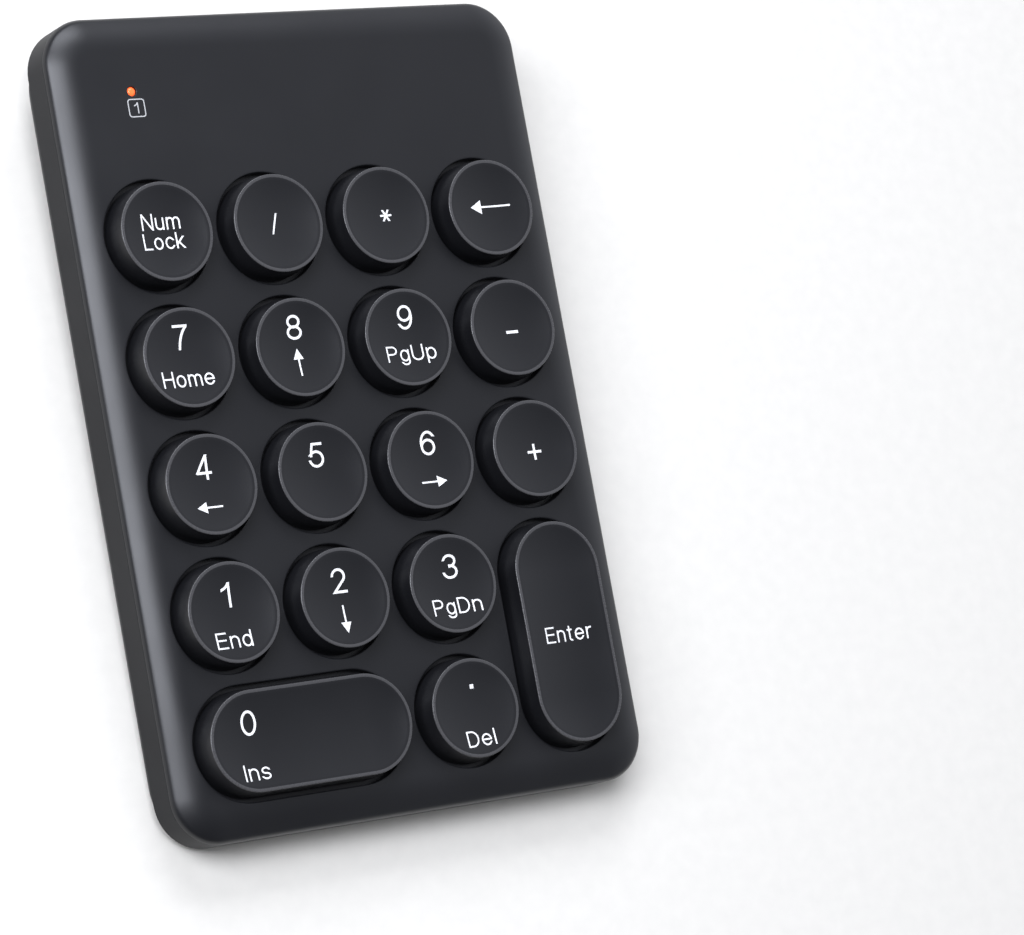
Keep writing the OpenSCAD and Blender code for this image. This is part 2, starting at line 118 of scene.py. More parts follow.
class KeypadSizes(bpy.types.PropertyGroup):
    """Sizes of the details that the frame leaves to the looks, in millimetres."""

    corner_radius: FloatProperty(
        name="Corner radius", description="Plan radius of the case's corners", default=7.5, min=6, max=9
    )
    edge_run: FloatProperty(
        name="Edge run", description="Width of the deck's soft edge", default=5.4, min=3, max=6
    )
    edge_foot_radius: FloatProperty(
        name="Edge foot radius", description="Tight radius at the foot of the soft edge", default=1.4
    )
    edge_turn: FloatProperty(
        name="Edge turn",
        description="Angle that the wide part of the soft edge turns through",
        default=math.radians(28),
        subtype="ANGLE",
        unit="ROTATION",
    )
    opening_radius: FloatProperty(
        name="Opening radius", description="Radius of the openings in the deck", default=8.72
    )
    opening_lip: FloatProperty(
        name="Opening lip", description="Rounding round each opening", default=0.22, min=0.05, max=0.5
    )
    deck_thickness: FloatProperty(
        name="Deck thickness", description="Thickness of the deck", default=1.6
    )
    rim_width: FloatProperty(
        name="Rim width", description="Width of the fine rim round a key's top", default=0.45
    )
    dish_depth: FloatProperty(
        name="Dish depth", description="Depth of the dish in a key's top", default=0.8
    )
    ink_thickness: FloatProperty(
        name="Ink thickness", description="Thickness of the printed legends", default=0.02
    )
    soft_edge: FloatProperty(
        name="Moulded edge", description="Rounding of the moulded edges under the case", default=0.15
    )


class KeypadColours(bpy.types.PropertyGroup):
    """Colours of the keypad's finishes."""

    case: FloatVectorProperty(
        name="Case", description="Plastic of the case", subtype="COLOR", default=(0.0072, 0.0074, 0.0088)
    )
    base: FloatVectorProperty(
        name="Base", description="Plastic under the case", subtype="COLOR", default=(0.0062, 0.0064, 0.0076)
    )
    key: FloatVectorProperty(
        name="Keys", description="Plastic of the keys", subtype="COLOR", default=(0.0072, 0.0074, 0.0088)
    )
    # Painted highlight: the rim's colour is far paler than the keys' plastic, so its rounding reads as a
    # bright line all round
    rim: FloatVectorProperty(
        name="Rim", description="Rim of a key, pale as a painted highlight", subtype="COLOR", default=(0.057, 0.056, 0.058)
    )
    ink: FloatVectorProperty(
        name="Ink", description="Printed legends", subtype="COLOR", default=(0.88, 0.88, 0.88)
    )
    light: FloatVectorProperty(
        name="Status light", description="Lit light pipe", subtype="COLOR", default=(1.0, 0.13, 0.03)
    )
    floor: FloatVectorProperty(
        name="Floor", description="Floor under the keypad", subtype="COLOR", default=(0.70, 0.68, 0.63)
    )


def sizes():
    return bpy.context.scene.keypad_sizes


def colours():
    return bpy.context.scene.keypad_colours


# ---------------------------------------------------------------- materials


def scaled(colour, share):
    """A colour made darker or paler by a share."""
    return tuple(min(1.0, channel * share) for channel in colour)


def blank_material(name, colour, roughness, metallic=0.0):
    """A material whose Principled shader has these values on its own sockets."""
    material = bpy.data.materials.new(name)
    material.use_nodes = True
    shader = material.node_tree.nodes["Principled BSDF"]
    shader.inputs["Base Color"].default_value = (*colour, 1)
    shader.inputs["Roughness"].default_value = roughness
    shader.inputs["Metallic"].default_value = metallic
    return material, shader


def link(material, output, socket):
    material.node_tree.links.new(output, socket)


def noise(material, per_metre, detail=3.0):
    """Noise in object coordinates. per_metre is the number of grains in a metre."""
    nodes = material.node_tree.nodes
    place = nodes.new("ShaderNodeTexCoord")
    texture = nodes.new("ShaderNodeTexNoise")
    texture.inputs["Scale"].default_value = per_metre
    texture.inputs["Detail"].default_value = detail
    link(material, place.outputs["Object"], texture.inputs["Vector"])
    return texture.outputs["Fac"]


def spread(material, value, low, high, start=0.3, end=0.7):
    """Maps start to end, by default the usual range of noise, on to low to high."""
    node = material.node_tree.nodes.new("ShaderNodeMapRange")
    node.inputs["From Min"].default_value = start
    node.inputs["From Max"].default_value = end
    node.inputs["To Min"].default_value = low
    node.inputs["To Max"].default_value = high
    link(material, value, node.inputs["Value"])
    return node.outputs["Result"]


def between(material, share, first, second):
    """A colour between two, by share."""
    node = material.node_tree.nodes.new("ShaderNodeMix")
    node.data_type = "RGBA"
    node.inputs["A"].default_value = (*first, 1)
    node.inputs["B"].default_value = (*second, 1)
    link(material, share, node.inputs["Factor"])
    return node.outputs["Result"]


def bump(material, shader, height, depth):
    """Bump of this depth in metres."""
    node = material.node_tree.nodes.new("ShaderNodeBump")
    node.inputs["Strength"].default_value = 1.0
    node.inputs["Distance"].default_value = depth
    link(material, height, node.inputs["Height"])
    link(material, node.outputs["Normal"], shader.inputs["Normal"])


BLUNT = 0.52  # pointiness of an open face
SHARP = 0.62  # pointiness of an outer edge


def edge_share(material):
    """0 on open faces, rising to 1 on the mesh's outer edges, where handling polishes a moulding."""
    shape = material.node_tree.nodes.new("ShaderNodeNewGeometry")
    return spread(material, shape.outputs["Pointiness"], 0, 1, BLUNT, SHARP)


PATCHES_PER_METRE = 60
MOTTLE = 0.06  # share by which a moulding's colour varies
GLOSS_SPREAD = 0.03  # by how much its roughness varies


def moulded_plastic(name, colour, roughness, grain_per_metre=9000, grain_depth=4e-6, wear=1.35, shine=0.5):
    """Satin moulded plastic: spark-eroded grain, uneven gloss and slightly paler handled edges."""
    material, shader = blank_material(name, colour, roughness)
    shader.inputs["Specular IOR Level"].default_value = shine
    patches = noise(material, PATCHES_PER_METRE)
    mottled = between(material, patches, scaled(colour, 1 - MOTTLE), scaled(colour, 1 + MOTTLE))
    worn = material.node_tree.nodes.new("ShaderNodeMix")
    worn.data_type = "RGBA"
    link(material, edge_share(material), worn.inputs["Factor"])
    link(material, mottled, worn.inputs["A"])
    worn.inputs["B"].default_value = (*scaled(colour, wear), 1)
    link(material, worn.outputs["Result"], shader.inputs["Base Color"])
    gloss = spread(material, patches, roughness - GLOSS_SPREAD, roughness + GLOSS_SPREAD)
    link(material, gloss, shader.inputs["Roughness"])
    bump(material, shader, noise(material, grain_per_metre, 2.0), grain_depth)
    return material


def plain_finish(name, colour, roughness, metallic=0.0, grain_per_metre=2500, grain_depth=2e-6):
    """A finish of one colour with uneven gloss and a fine surface."""
    material, shader = blank_material(name, colour, roughness, metallic)
    grain = noise(material, grain_per_metre)
    tinted = between(material, grain, scaled(colour, 0.9), colour)
    link(material, tinted, shader.inputs["Base Color"])
    rough = spread(material, grain, roughness * 0.85, min(1.0, roughness * 1.15))
    link(material, rough, shader.inputs["Roughness"])
    bump(material, shader, grain, grain_depth)
    return material


BRUSHED_LINES = (200, 9000, 9000)  # lines in a metre along x, y and z


def brushed_metal(name, colour, roughness):
    """Metal with fine lines along x."""
    material, shader = blank_material(name, colour, roughness, 1.0)
    nodes = material.node_tree.nodes
    place = nodes.new("ShaderNodeTexCoord")
    stretch = nodes.new("ShaderNodeMapping")
    stretch.inputs["Scale"].default_value = BRUSHED_LINES
    lines = nodes.new("ShaderNodeTexNoise")
    lines.inputs["Scale"].default_value = 1.0
    link(material, place.outputs["Object"], stretch.inputs["Vector"])
    link(material, stretch.outputs["Vector"], lines.inputs["Vector"])
    rough = spread(material, lines.outputs["Fac"], roughness * 0.7, roughness * 1.3)
    link(material, rough, shader.inputs["Roughness"])
    bump(material, shader, lines.outputs["Fac"], 1e-6)
    return material


def lit_plastic(name, colour, strength):
    """Clear plastic lit from below, brightest in small patches."""
    material, shader = blank_material(name, colour, 0.25)
    shader.inputs["Emission Color"].default_value = (*colour, 1)
    glow = spread(material, noise(material, 3000), strength * 0.8, strength * 1.2)
    link(material, glow, shader.inputs["Emission Strength"])
    return material


BAND_END = 0.01  # where the dark band of a cell ends, in metres along x
BAND_BLUR = 0.0002


def cell_jacket_finish():
    """Printed sleeve of a cell: a dark blue band and a pale end."""
    material, shader = blank_material("cell jacket", (0.05, 0.13, 0.3), 0.25)
    nodes = material.node_tree.nodes
    place = nodes.new("ShaderNodeTexCoord")
    split = nodes.new("ShaderNodeSeparateXYZ")
    link(material, place.outputs["Object"], split.inputs["Vector"])
    band = spread(material, split.outputs["X"], 0, 1, BAND_END - BAND_BLUR, BAND_END)
    sleeve = between(material, band, (0.04, 0.12, 0.3), (0.7, 0.71, 0.72))
    link(material, sleeve, shader.inputs["Base Color"])
    bump(material, shader, noise(material, 1500), 3e-6)
    return material


# ---------------------------------------------------------------- mesh helpers


def shade(bm, crease):
    """Smooth shading, with the edges that turn by more than crease degrees left sharp."""
    limit = math.radians(crease)
    for edge in bm.edges:
        edge.smooth = len(edge.link_faces) == 2 and edge.calc_face_angle(0.0) < limit
    for face in bm.faces:
        face.smooth = True


def make_object(name, bm, materials):
    """An object at the origin with bm as its mesh."""
    mesh = bpy.data.meshes.new(name)
    bm.to_mesh(mesh)
    bm.free()
    for material in materials:
        mesh.materials.append(material)
    piece = bpy.data.objects.new(name, mesh)
    bpy.context.scene.collection.objects.link(piece)
    return piece


def finish_mesh(bm, name, materials, body, replaces=(), crease=35.0, place=TO_ROW, apart=1e-4):
    """Turns bm into a piece that rides on a body. Edges sharper than crease degrees stay sharp, and
    points closer than apart are merged."""
    bmesh.ops.remove_doubles(bm, verts=bm.verts, dist=apart)
    bmesh.ops.recalc_face_normals(bm, faces=bm.faces)
    shade(bm, crease)
    bm.transform(place)
    return adopt(make_object(name, bm, materials), body, replaces)


def adopt(piece, body, replaces=()):
    """Lets a piece ride on a body, and hides the CAD nodes that it stands for."""
    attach(piece, body)
    if replaces:
        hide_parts(*replaces)
    return piece


def join_rings(bm, lower, upper, material_index=0):
    """Quads between two closed rings of the same number of vertices."""
    count = len(lower)
    for i in range(count):
        j = (i + 1) % count
        corners = []
        for vertex in (lower[i], lower[j], upper[j], upper[i]):
            if vertex not in corners:
                corners.append(vertex)
        if len(corners) > 2:
            face = bm.faces.new(corners)
            face.material_index = material_index


def add_ring(bm, plan, height):
    return [bm.verts.new((x, y, height)) for x, y in plan]


def add_skin(bm, outline, section):
    """A skin through rings: section gives their distances and heights, outline(distance) their plans."""
    rings = [add_ring(bm, outline(distance), height) for distance, height in section]
    for upper, lower in zip(rings, rings[1:]):
        join_rings(bm, upper, lower)


def arc_points(cx, cy, rx, ry, start, end, steps):
    """Points on an ellipse's arc; angles in degrees."""
    points = []
    for i in range(steps + 1):
        angle = math.radians(start + (end - start) * i / steps)
        points.append((cx + rx * math.cos(angle), cy + ry * math.sin(angle)))
    return points


CORNER_STEPS = 20
SIDE_STEPS = 120


def case_outline(corner_r, inset):
    """The case's outline in plan, moved inwards by inset, with the same number of points each time."""
    radius = corner_r - inset
    corners = []
    for turn, (side_x, side_y) in enumerate(CORNER_SIDES):
        cx = side_x * (CASE_W / 2 - corner_r)
        cy = side_y * (CASE_L / 2 - corner_r)
        corners.append(arc_points(cx, cy, radius, radius, 90 * turn, 90 * turn + 90, CORNER_STEPS))
    points = []
    for corner, following in zip(corners, corners[1:] + corners[:1]):
        (x0, y0), (x1, y1) = corner[-1], following[0]
        points += corner
        for i in range(1, SIDE_STEPS):
            points.append((x0 + (x1 - x0) * i / SIDE_STEPS, y0 + (y1 - y0) * i / SIDE_STEPS))
    return points


PILL_STEPS = 32


def pill_outline(length, distance, turned):
    """Points at one distance from a straight spine of this length, along x or, if turned, along y."""
    if length == 0:
        return arc_points(0, 0, distance, distance, 0, 360, 2 * PILL_STEPS)[:-1]
    points = []
    for side in (1, -1):
        start = -90 if side > 0 else 90
        points += arc_points(side * length / 2, 0, distance, distance, start, start + 180, PILL_STEPS)
    if turned:
        points = [(-y, x) for x, y in points]
    return points


def circles_at(x, y):
    """The outline of a round part in this place: a circle for each distance."""
    return lambda distance: [(x + px, y + py) for px, py in pill_outline(0, distance, False)]


CORNER_SIDES = ((1, 1), (-1, 1), (-1, -1), (1, -1))  # the corners of a rectangle, in turn
# ---------------------------------------------------------------- keys


ROUND_WITHIN = 0.1  # a key whose sides differ by less than this is round


class Key:
    """Place and shape of one key, read from its CAD node."""

    def __init__(self, name):
        low, high = deck_box("cap_" + name)
        flange_r = min(high.x - low.x, high.y - low.y) / 2
        self.name = name
        self.node = "cap_" + name
        self.body = "key_" + name
        self.x = (low.x + high.x) / 2
        self.y = (low.y + high.y) / 2
        self.top = high.z
        self.foot = low.z
        self.flange_r = flange_r
        self.turned = high.y - low.y > high.x - low.x + ROUND_WITHIN
        self.length = max(high.x - low.x, high.y - low.y) - 2 * flange_r
        if self.length < ROUND_WITHIN:
            self.length = 0.0

    def outline(self, distance):
        return [
            (self.x + x, self.y + y) for x, y in pill_outline(self.length, distance, self.turned)
        ]

    def spine_distance(self, x, y):
        """Distance of a point of the deck from the key's spine."""
        along, across = (y - self.y, x - self.x) if self.turned else (x - self.x, y - self.y)
        beyond = max(0.0, abs(along) - self.length / 2)
        return math.hypot(beyond, across)


KEYS = [Key(name) for name in KEY_NAMES]

# A key's section, measured from the deck and the key's spine
RIM_R = 7.61
SKIRT_R = 8.05
FLANGE_TOP = -1.75
FLANGE_FOOT = -2.25
CEILING = 1.7
CEILING_RISE = 0.4  # the ceiling slopes up by this much inside the wall
KEY_WALL = 0.95
RIM_FOOT = 0.05  # the rim starts this far inside the edge of the dish
RIM_ROUND = 0.13
RIM_STEPS = 5
DISH_STEPS = 14
PLUNGER_R = 2.7
PLUNGER_CHAMFER = 0.2
PLUNGER_ROOT = 0.2  # how far a plunger reaches into the key's ceiling


def dish_depth(distance):
    """Depth of the dish below a key's rim, at a distance from the key's spine."""
    flat_r = RIM_R - sizes().rim_width
    depth = sizes().dish_depth
    radius = (flat_r**2 + depth**2) / (2 * depth)
    return depth - radius + math.sqrt(radius**2 - min(distance, flat_r) ** 2)


def dish_height(key, x, y):
    """Height of the dished top of a key over a point of the deck."""
    return key.top - dish_depth(key.spine_distance(x, y))


def key_section(key):
    """Section of a key from the middle of its dish round to the middle of its ceiling.

    Returns the points and the range of the rim's stretch."""
    flat_r = RIM_R - sizes().rim_width
    points = []
    for i in range(DISH_STEPS + 1):
        distance = (flat_r - RIM_FOOT) * i / DISH_STEPS
        points.append((distance, key.top - dish_depth(distance)))
    rim_start = len(points) - 1
    points += [(flat_r + 0.02, key.top - 0.012), (flat_r + 0.07, key.top)]
    middle = (RIM_R - RIM_ROUND, key.top - RIM_ROUND)
    points += arc_points(*middle, RIM_ROUND, RIM_ROUND, 90, 8, RIM_STEPS)
    rim_end = len(points) - 1
    points += [(SKIRT_R, 0), (SKIRT_R, FLANGE_TOP), (key.flange_r, FLANGE_TOP)]
    points += [(key.flange_r, FLANGE_FOOT), (SKIRT_R - KEY_WALL, FLANGE_FOOT)]
    points += [(SKIRT_R - KEY_WALL, CEILING - CEILING_RISE), (RIM_R - KEY_WALL, CEILING), (0, CEILING)]
    return points, rim_start, rim_end


def add_plunger(bm, key, along):
    """The round post under a key that stands on its dome, along millimetres from the middle."""
    x, y = (key.x, key.y + along) if key.turned else (key.x + along, key.y)
    root = CEILING + PLUNGER_ROOT
    section = [(0, key.foot), (PLUNGER_R - PLUNGER_CHAMFER, key.foot)]
    section += [(PLUNGER_R, key.foot + PLUNGER_CHAMFER), (PLUNGER_R, root), (0, root)]
    add_skin(bm, circles_at(x, y), section)


def build_key(key, plastic, rim):
    """One key: a dished cap with a rim, hollow below, on one or three plungers."""
    bm = bmesh.new()
    section, rim_start, rim_end = key_section(key)
    rings = [add_ring(bm, key.outline(distance), height) for distance, height in section]
    # The rim's faces take the second material, whose pale colour is a painted highlight
    for i, (inner, outer) in enumerate(zip(rings, rings[1:])):
        join_rings(bm, inner, outer, 1 if rim_start <= i < rim_end else 0)
    for along in (0,) if key.length == 0 else (-key.length / 2, 0, key.length / 2):
        add_plunger(bm, key, along)
    name = "keycap_" + key.name
    return finish_mesh(bm, name, [plastic, rim], key.body, [key.node], crease=40)


# ---------------------------------------------------------------- legends

# Glyphs are drawn as pen strokes in a box whose height is 1 from the baseline to the top of
# a capital. X_TOP is the top of a small letter and DESCENT the foot of a tail.
X_TOP = 0.72
DESCENT = -0.27


def line(*points):
    return list(points)


def arc(cx, cy, rx, ry, start, end):
    """Part of an ellipse, with a point every ten degrees or so."""
    return arc_points(cx, cy, rx, ry, start, end, max(4, int(abs(end - start) / 10)))


def bend(first, control, last):
    """A curve from first to last that leaves and arrives towards control."""
    steps = 8
    points = []
    for i in range(steps + 1):
        t = i / steps
        points.append(
            tuple(
                (1 - t) ** 2 * a + 2 * t * (1 - t) * b + t * t * c
                for a, b, c in zip(first, control, last)
            )
        )
    return points


def bowl(cx, rx, cy=X_TOP / 2, ry=X_TOP / 2):
    """A closed ring."""
    return arc(cx, cy, rx, ry, 0, 360)


def arch(start_x, width):
    """The shoulder and leg of n and m."""
    shoulder = 0.26
    round_part = arc(start_x + width / 2, X_TOP - shoulder, width / 2, shoulder, 180, 0)
    return round_part + line((start_x + width, 0))


def spoke(turn):
    """A stroke through the middle of the box, turned by some degrees."""
    x, y = math.cos(math.radians(turn)) / 2, math.sin(math.radians(turn)) / 2
    return line((0.5 - x, 0.5 - y), (0.5 + x, 0.5 + y))


# Each glyph's width and strokes
GLYPHS = {
    "N": (0.70, [line((0, 0), (0, 1)), line((0.03, 1), (0.67, 0)), line((0.70, 0), (0.70, 1))]),
    "L": (0.50, [line((0, 1), (0, 0), (0.50, 0))]),
    "H": (0.68, [line((0, 0), (0, 1)), line((0.68, 0), (0.68, 1)), line((0, 0.53), (0.68, 0.53))]),
    "P": (0.60, [line((0, 0), (0, 1), (0.33, 1)) + arc(0.33, 0.74, 0.27, 0.26, 90, -90) + line((0, 0.48))]),
    "U": (0.66, [line((0, 1), (0, 0.34)) + arc(0.33, 0.34, 0.33, 0.34, 180, 360) + line((0.66, 1))]),
    "E": (0.60, [line((0.58, 1), (0, 1), (0, 0), (0.60, 0)), line((0, 0.53), (0.55, 0.53))]),
    "D": (0.66, [line((0, 0), (0, 1), (0.26, 1)) + arc(0.26, 0.5, 0.40, 0.5, 90, -90) + line((0, 0))]),
    "I": (0.0, [line((0, 0), (0, 1))]),
    "o": (0.54, [bowl(0.27, 0.27)]),
    "c": (0.48, [arc(0.27, X_TOP / 2, 0.27, X_TOP / 2, 40, 320)]),
    "e": (0.54, [line((0, 0.37), (0.54, 0.37)) + arc(0.27, X_TOP / 2, 0.27, X_TOP / 2, 5, 325)]),
    "u": (
        0.48,
        [
            line((0, X_TOP), (0, 0.26)) + arc(0.24, 0.26, 0.24, 0.26, 180, 360),
            line((0.48, 0), (0.48, X_TOP)),
        ],
    ),
    "n": (0.48, [line((0, 0), (0, X_TOP)), arch(0, 0.48)]),
    "m": (0.80, [line((0, 0), (0, X_TOP)), arch(0, 0.40), arch(0.40, 0.40)]),
    "r": (0.24, [line((0, 0), (0, X_TOP)), arc(0.25, X_TOP - 0.28, 0.25, 0.28, 180, 85)]),
    "d": (0.50, [bowl(0.25, 0.25), line((0.50, 0), (0.50, 1))]),
    "p": (0.50, [bowl(0.25, 0.25), line((0, DESCENT), (0, X_TOP))]),
    "g": (
        0.50,
        [
            bowl(0.25, 0.25),
            line((0.50, X_TOP), (0.50, -0.04)) + arc(0.26, -0.04, 0.24, 0.23, 360, 205),
        ],
    ),
    "k": (0.44, [line((0, 0), (0, 1)), line((0, 0.22), (0.42, X_TOP)), line((0.15, 0.38), (0.44, 0))]),
    "t": (
        0.28,
        [
            line((0.12, 0.93), (0.12, 0.13)) + arc(0.25, 0.13, 0.13, 0.13, 180, 270),
            line((0, X_TOP), (0.26, X_TOP)),
        ],
    ),
    "s": (0.44, [arc(0.22, 0.54, 0.20, 0.18, 25, 270) + arc(0.22, 0.18, 0.22, 0.18, 90, -155)]),
    "l": (0.0, [line((0, 0), (0, 1))]),
    "0": (0.60, [bowl(0.30, 0.30, 0.5, 0.5)]),
    "1": (0.30, [line((0.30, 0), (0.30, 1)), bend((0, 0.74), (0.20, 0.82), (0.28, 1))]),
    "2": (0.62, [arc(0.30, 0.70, 0.29, 0.30, 170, -38) + line((0.06, 0), (0.62, 0))]),
    "3": (
        0.60,
        [arc(0.29, 0.755, 0.27, 0.245, 160, -90), arc(0.29, 0.27, 0.31, 0.27, 90, -165)],
    ),
    "4": (0.66, [line((0.48, 0), (0.48, 1)), line((0.46, 1), (0.01, 0.28)), line((0, 0.25), (0.66, 0.25))]),
    "5": (
        0.60,
        [line((0.55, 1), (0.14, 1), (0.06, 0.49)), arc(0.28, 0.33, 0.31, 0.33, 142, -162)],
    ),
    "6": (0.60, [bowl(0.31, 0.29, 0.32, 0.32), arc(0.33, 0.50, 0.33, 0.50, 42, 195)]),
    "7": (0.60, [line((0, 1), (0.57, 1)) + bend((0.57, 0.98), (0.26, 0.62), (0.20, 0))]),
    "8": (0.60, [bowl(0.30, 0.26, 0.755, 0.245), bowl(0.30, 0.30, 0.265, 0.265)]),
    "9": (0.60, [bowl(0.29, 0.29, 0.68, 0.32), arc(0.27, 0.50, 0.33, 0.50, 222, 375)]),
    "/": (0.38, [line((0, 0), (0.38, 1))]),
    "+": (1.0, [line((0, 0.5), (1, 0.5)), line((0.5, 0), (0.5, 1))]),
    "-": (1.0, [line((0, 0.5), (1, 0.5))]),
    ".": (0.0, [line((0, 0), (0, 1))]),
    "*": (1.0, [spoke(turn) for turn in (0, 60, 120)]),
}
LETTER_GAP = 0.15  # clear space between two letters, in capital heights
PEN_STEP = 0.35  # longest straight step of a stroke, in millimetres
HEAD_STEPS = 5  # steps along an arrow's head
POINT_HALF = 0.01  # half the width of an arrow's point
SHARPEST_BEND = 0.35  # keeps the outer side of a sharp bend from running far out


def evenly(points):
    """The same line with no step longer than PEN_STEP."""
    result = [points[0]]
    for start, end in zip(points, points[1:]):
        count = max(1, math.ceil(math.dist(start, end) / PEN_STEP))
        for i in range(1, count + 1):
            result.append(tuple(a + (b - a) * i / count for a, b in zip(start, end)))
    return result


def without_repeats(points):
    """The same line with no point twice in a row."""
    result = [points[0]]
    for point in points[1:]:
        if math.dist(point, result[-1]) > 1e-4:
            result.append(point)
    return result


def left_of(along):
    return Vector((-along.y, along.x))


def end_sides(here, along, pen, last):
    """Both sides of a stroke's open end, cut level or upright, as in a sans face."""
    level = abs(along.y) > 0.5
    reach = pen / 2 / max(abs(along.y if level else along.x), 0.5)
    tip = here + along * (reach if last else -reach)
    side = left_of(along)
    cut = Vector((math.copysign(1, side.x), 0)) if level else Vector((0, math.copysign(1, side.y)))
    return tip + cut * reach, tip - cut * reach


def bend_sides(here, into, out, pen):
    """Both sides of a stroke where it turns from one direction into another."""
    side = left_of((into + out).normalized())
    half = pen / 2 / max(SHARPEST_BEND, side.dot(left_of(into)))
    return here + side * half, here - side * half


def stroke_sides(points, pen):
    """Left and right side of a pen stroke, and whether it is a closed ring."""
    closed = math.dist(points[0], points[-1]) < 1e-3
    if closed:
        points = points[:-1]
    count = len(points)
    left, right = [], []
    for i in range(count):
        here = Vector(points[i])
        first = i == 0 and not closed
        last = i == count - 1 and not closed
        into = None if first else (here - Vector(points[i - 1])).normalized()
        out = None if last else (Vector(points[(i + 1) % count]) - here).normalized()
        if first or last:
            sides = end_sides(here, into if last else out, pen, last)
        else:
            sides = bend_sides(here, into, out, pen)
        left.append(sides[0])
        right.append(sides[1])
    return left, right, closed


def add_print(bm, surface, left, right, closed, lift):
    """A thin closed layer of ink between two sides, lying on surface(x, y)."""
    thickness = sizes().ink_thickness
    rows = []
    for a, b in zip(left, right):
        row = []
        for point, top in ((a, lift), (b, lift), (b, lift - thickness), (a, lift - thickness)):
            row.append(bm.verts.new((point.x, point.y, surface(point.x, point.y) + top)))
        rows.append(row)
    pairs = list(zip(rows, rows[1:])) + ([(rows[-1], rows[0])] if closed else [])
    for near, far in pairs:
        for i in range(4):
            j = (i + 1) % 4
            bm.faces.new((near[i], near[j], far[j], far[i]))
    if not closed:
        bm.faces.new(rows[0][::-1])
        bm.faces.new(rows[-1])


class Print:
    """Collects the ink of one legend, each stroke a hair higher than the last, so that none coincide."""

    RISE = 1 / 40  # a hair, as a share of the ink's thickness

    def __init__(self, bm, surface):
        self.bm = bm
        self.surface = surface
        self.lift = sizes().ink_thickness / 2

    def lay(self, left, right, closed):
        """Lays ink between two sides."""
        add_print(self.bm, self.surface, left, right, closed, self.lift)
        self.lift += sizes().ink_thickness * self.RISE

    def stroke(self, points, pen):
        """Draws along points with a pen of this width."""
        self.lay(*stroke_sides(evenly(without_repeats(points)), pen))

    def text(self, words, centre_x, baseline, width, height, pen):
        """Writes words as wide as width, with capitals as high as height."""
        rise = max(height - pen, 0.01)
        gap = LETTER_GAP + pen / rise
        natural = sum(GLYPHS[letter][0] for letter in words) + gap * (len(words) - 1)
        across = (width - pen) / natural if natural > 0 else 1.0
        x = centre_x - natural * across / 2
        for letter in words:
            advance, strokes = GLYPHS[letter]
            for points in strokes:
                placed = [(x + px * across, baseline + pen / 2 + py * rise) for px, py in points]
                self.stroke(placed, pen)
            x += (advance + gap) * across

    def arrow(self, tail, tip, pen, head_length, head_half):
        """A shaft with a solid head."""
        tail, tip = Vector(tail), Vector(tip)
        along = (tip - tail).normalized()
        side = Vector((-along.y, along.x))
        neck = tip - along * head_length
        self.stroke([tuple(tail + along * pen / 2), tuple(neck)], pen)
        left, right = [], []
        for i in range(HEAD_STEPS + 1):
            share = i / HEAD_STEPS
            spot = neck.lerp(tip, share)
            half = max(head_half * (1 - share), POINT_HALF)
            left.append(spot + side * half)
            right.append(spot - side * half)
        self.lay(left, right, False)


# Sizes of the printing, in millimetres
DIGIT_H = 3.75
DIGIT_W = 2.6
ONE_W = 1.55
DIGIT_PEN = 0.39
WORD_H = 2.5
WORD_PEN = 0.25
ARROW_PEN = 0.27
ARROW_HEAD = (1.65, 0.87)  # length and half width of an arrow's head
LONG_ARROW_HEAD = (1.95, 1.12)  # the same on the backspace key
# Baseline of the digits in each row, from the middle of the key
ROW_FOOT = {"789": 1.3, "456": 0.82, "123": 0.8, "0": 0.9}
DIGIT_FOOT = {digit: foot for digits, foot in ROW_FOOT.items() for digit in digits}
# Each column's legends stand this far to the right of the middle of their keys
COLUMN_SHIFT = (-0.6, -0.34, 0.25, 0.18)
# Words: text, baseline and width
WORDS = {
    "num_lock": [("Num", 0.38, 6.5), ("Lock", -2.62, 6.85)],
    "7": [("Home", -4.35, 8.7)],
    "9": [("PgUp", -3.66, 8.7)],
    "1": [("End", -5.28, 6.0)],
    "3": [("PgDn", -4.66, 8.6)],
    "enter": [("Enter", -1.54, 8.3)],
    "0": [("Ins", -5.8, 4.35)],
    "decimal": [("Del", -5.9, 5.0)],
}
# Arrows: tail and tip, from the middle of the key, along x or y
ARROWS = {
    "backspace": ((3.72, 0.25), (-3.48, 0.25)),
    "8": ((0, -4.35), (0, -0.1)),
    "4": ((2.1, -3.35), (-2.2, -3.35)),
    "6": ((-2.2, -3.35), (2.25, -3.35)),
    "2": ((0, -1.05), (0, -5.3)),
}
# Signs: text, centre x, foot, width, height and pen
SIGNS = {
    "divide": ("/", -0.02, -1.55, 1.2, 3.2, 0.27),
    "multiply": ("*", 0.03, -0.95, 2.0, 2.0, 0.30),
    "minus": ("-", -0.02, -1.69, 2.15, 2.15, 0.45),
    "plus": ("+", 0.02, -1.72, 2.5, 2.5, 0.40),
    "decimal": (".", 0.0, 3.0, 0.65, 0.65, 0.65),
}


def legend_x(key):
    """Middle of a key's legend. A wide key's legend stands at its left end."""
    pitch = KEYS[1].x - KEYS[0].x
    x = key.x if key.turned else key.x - key.length / 2
    column = round((x - KEYS[0].x) / pitch)
    return x + COLUMN_SHIFT[column]


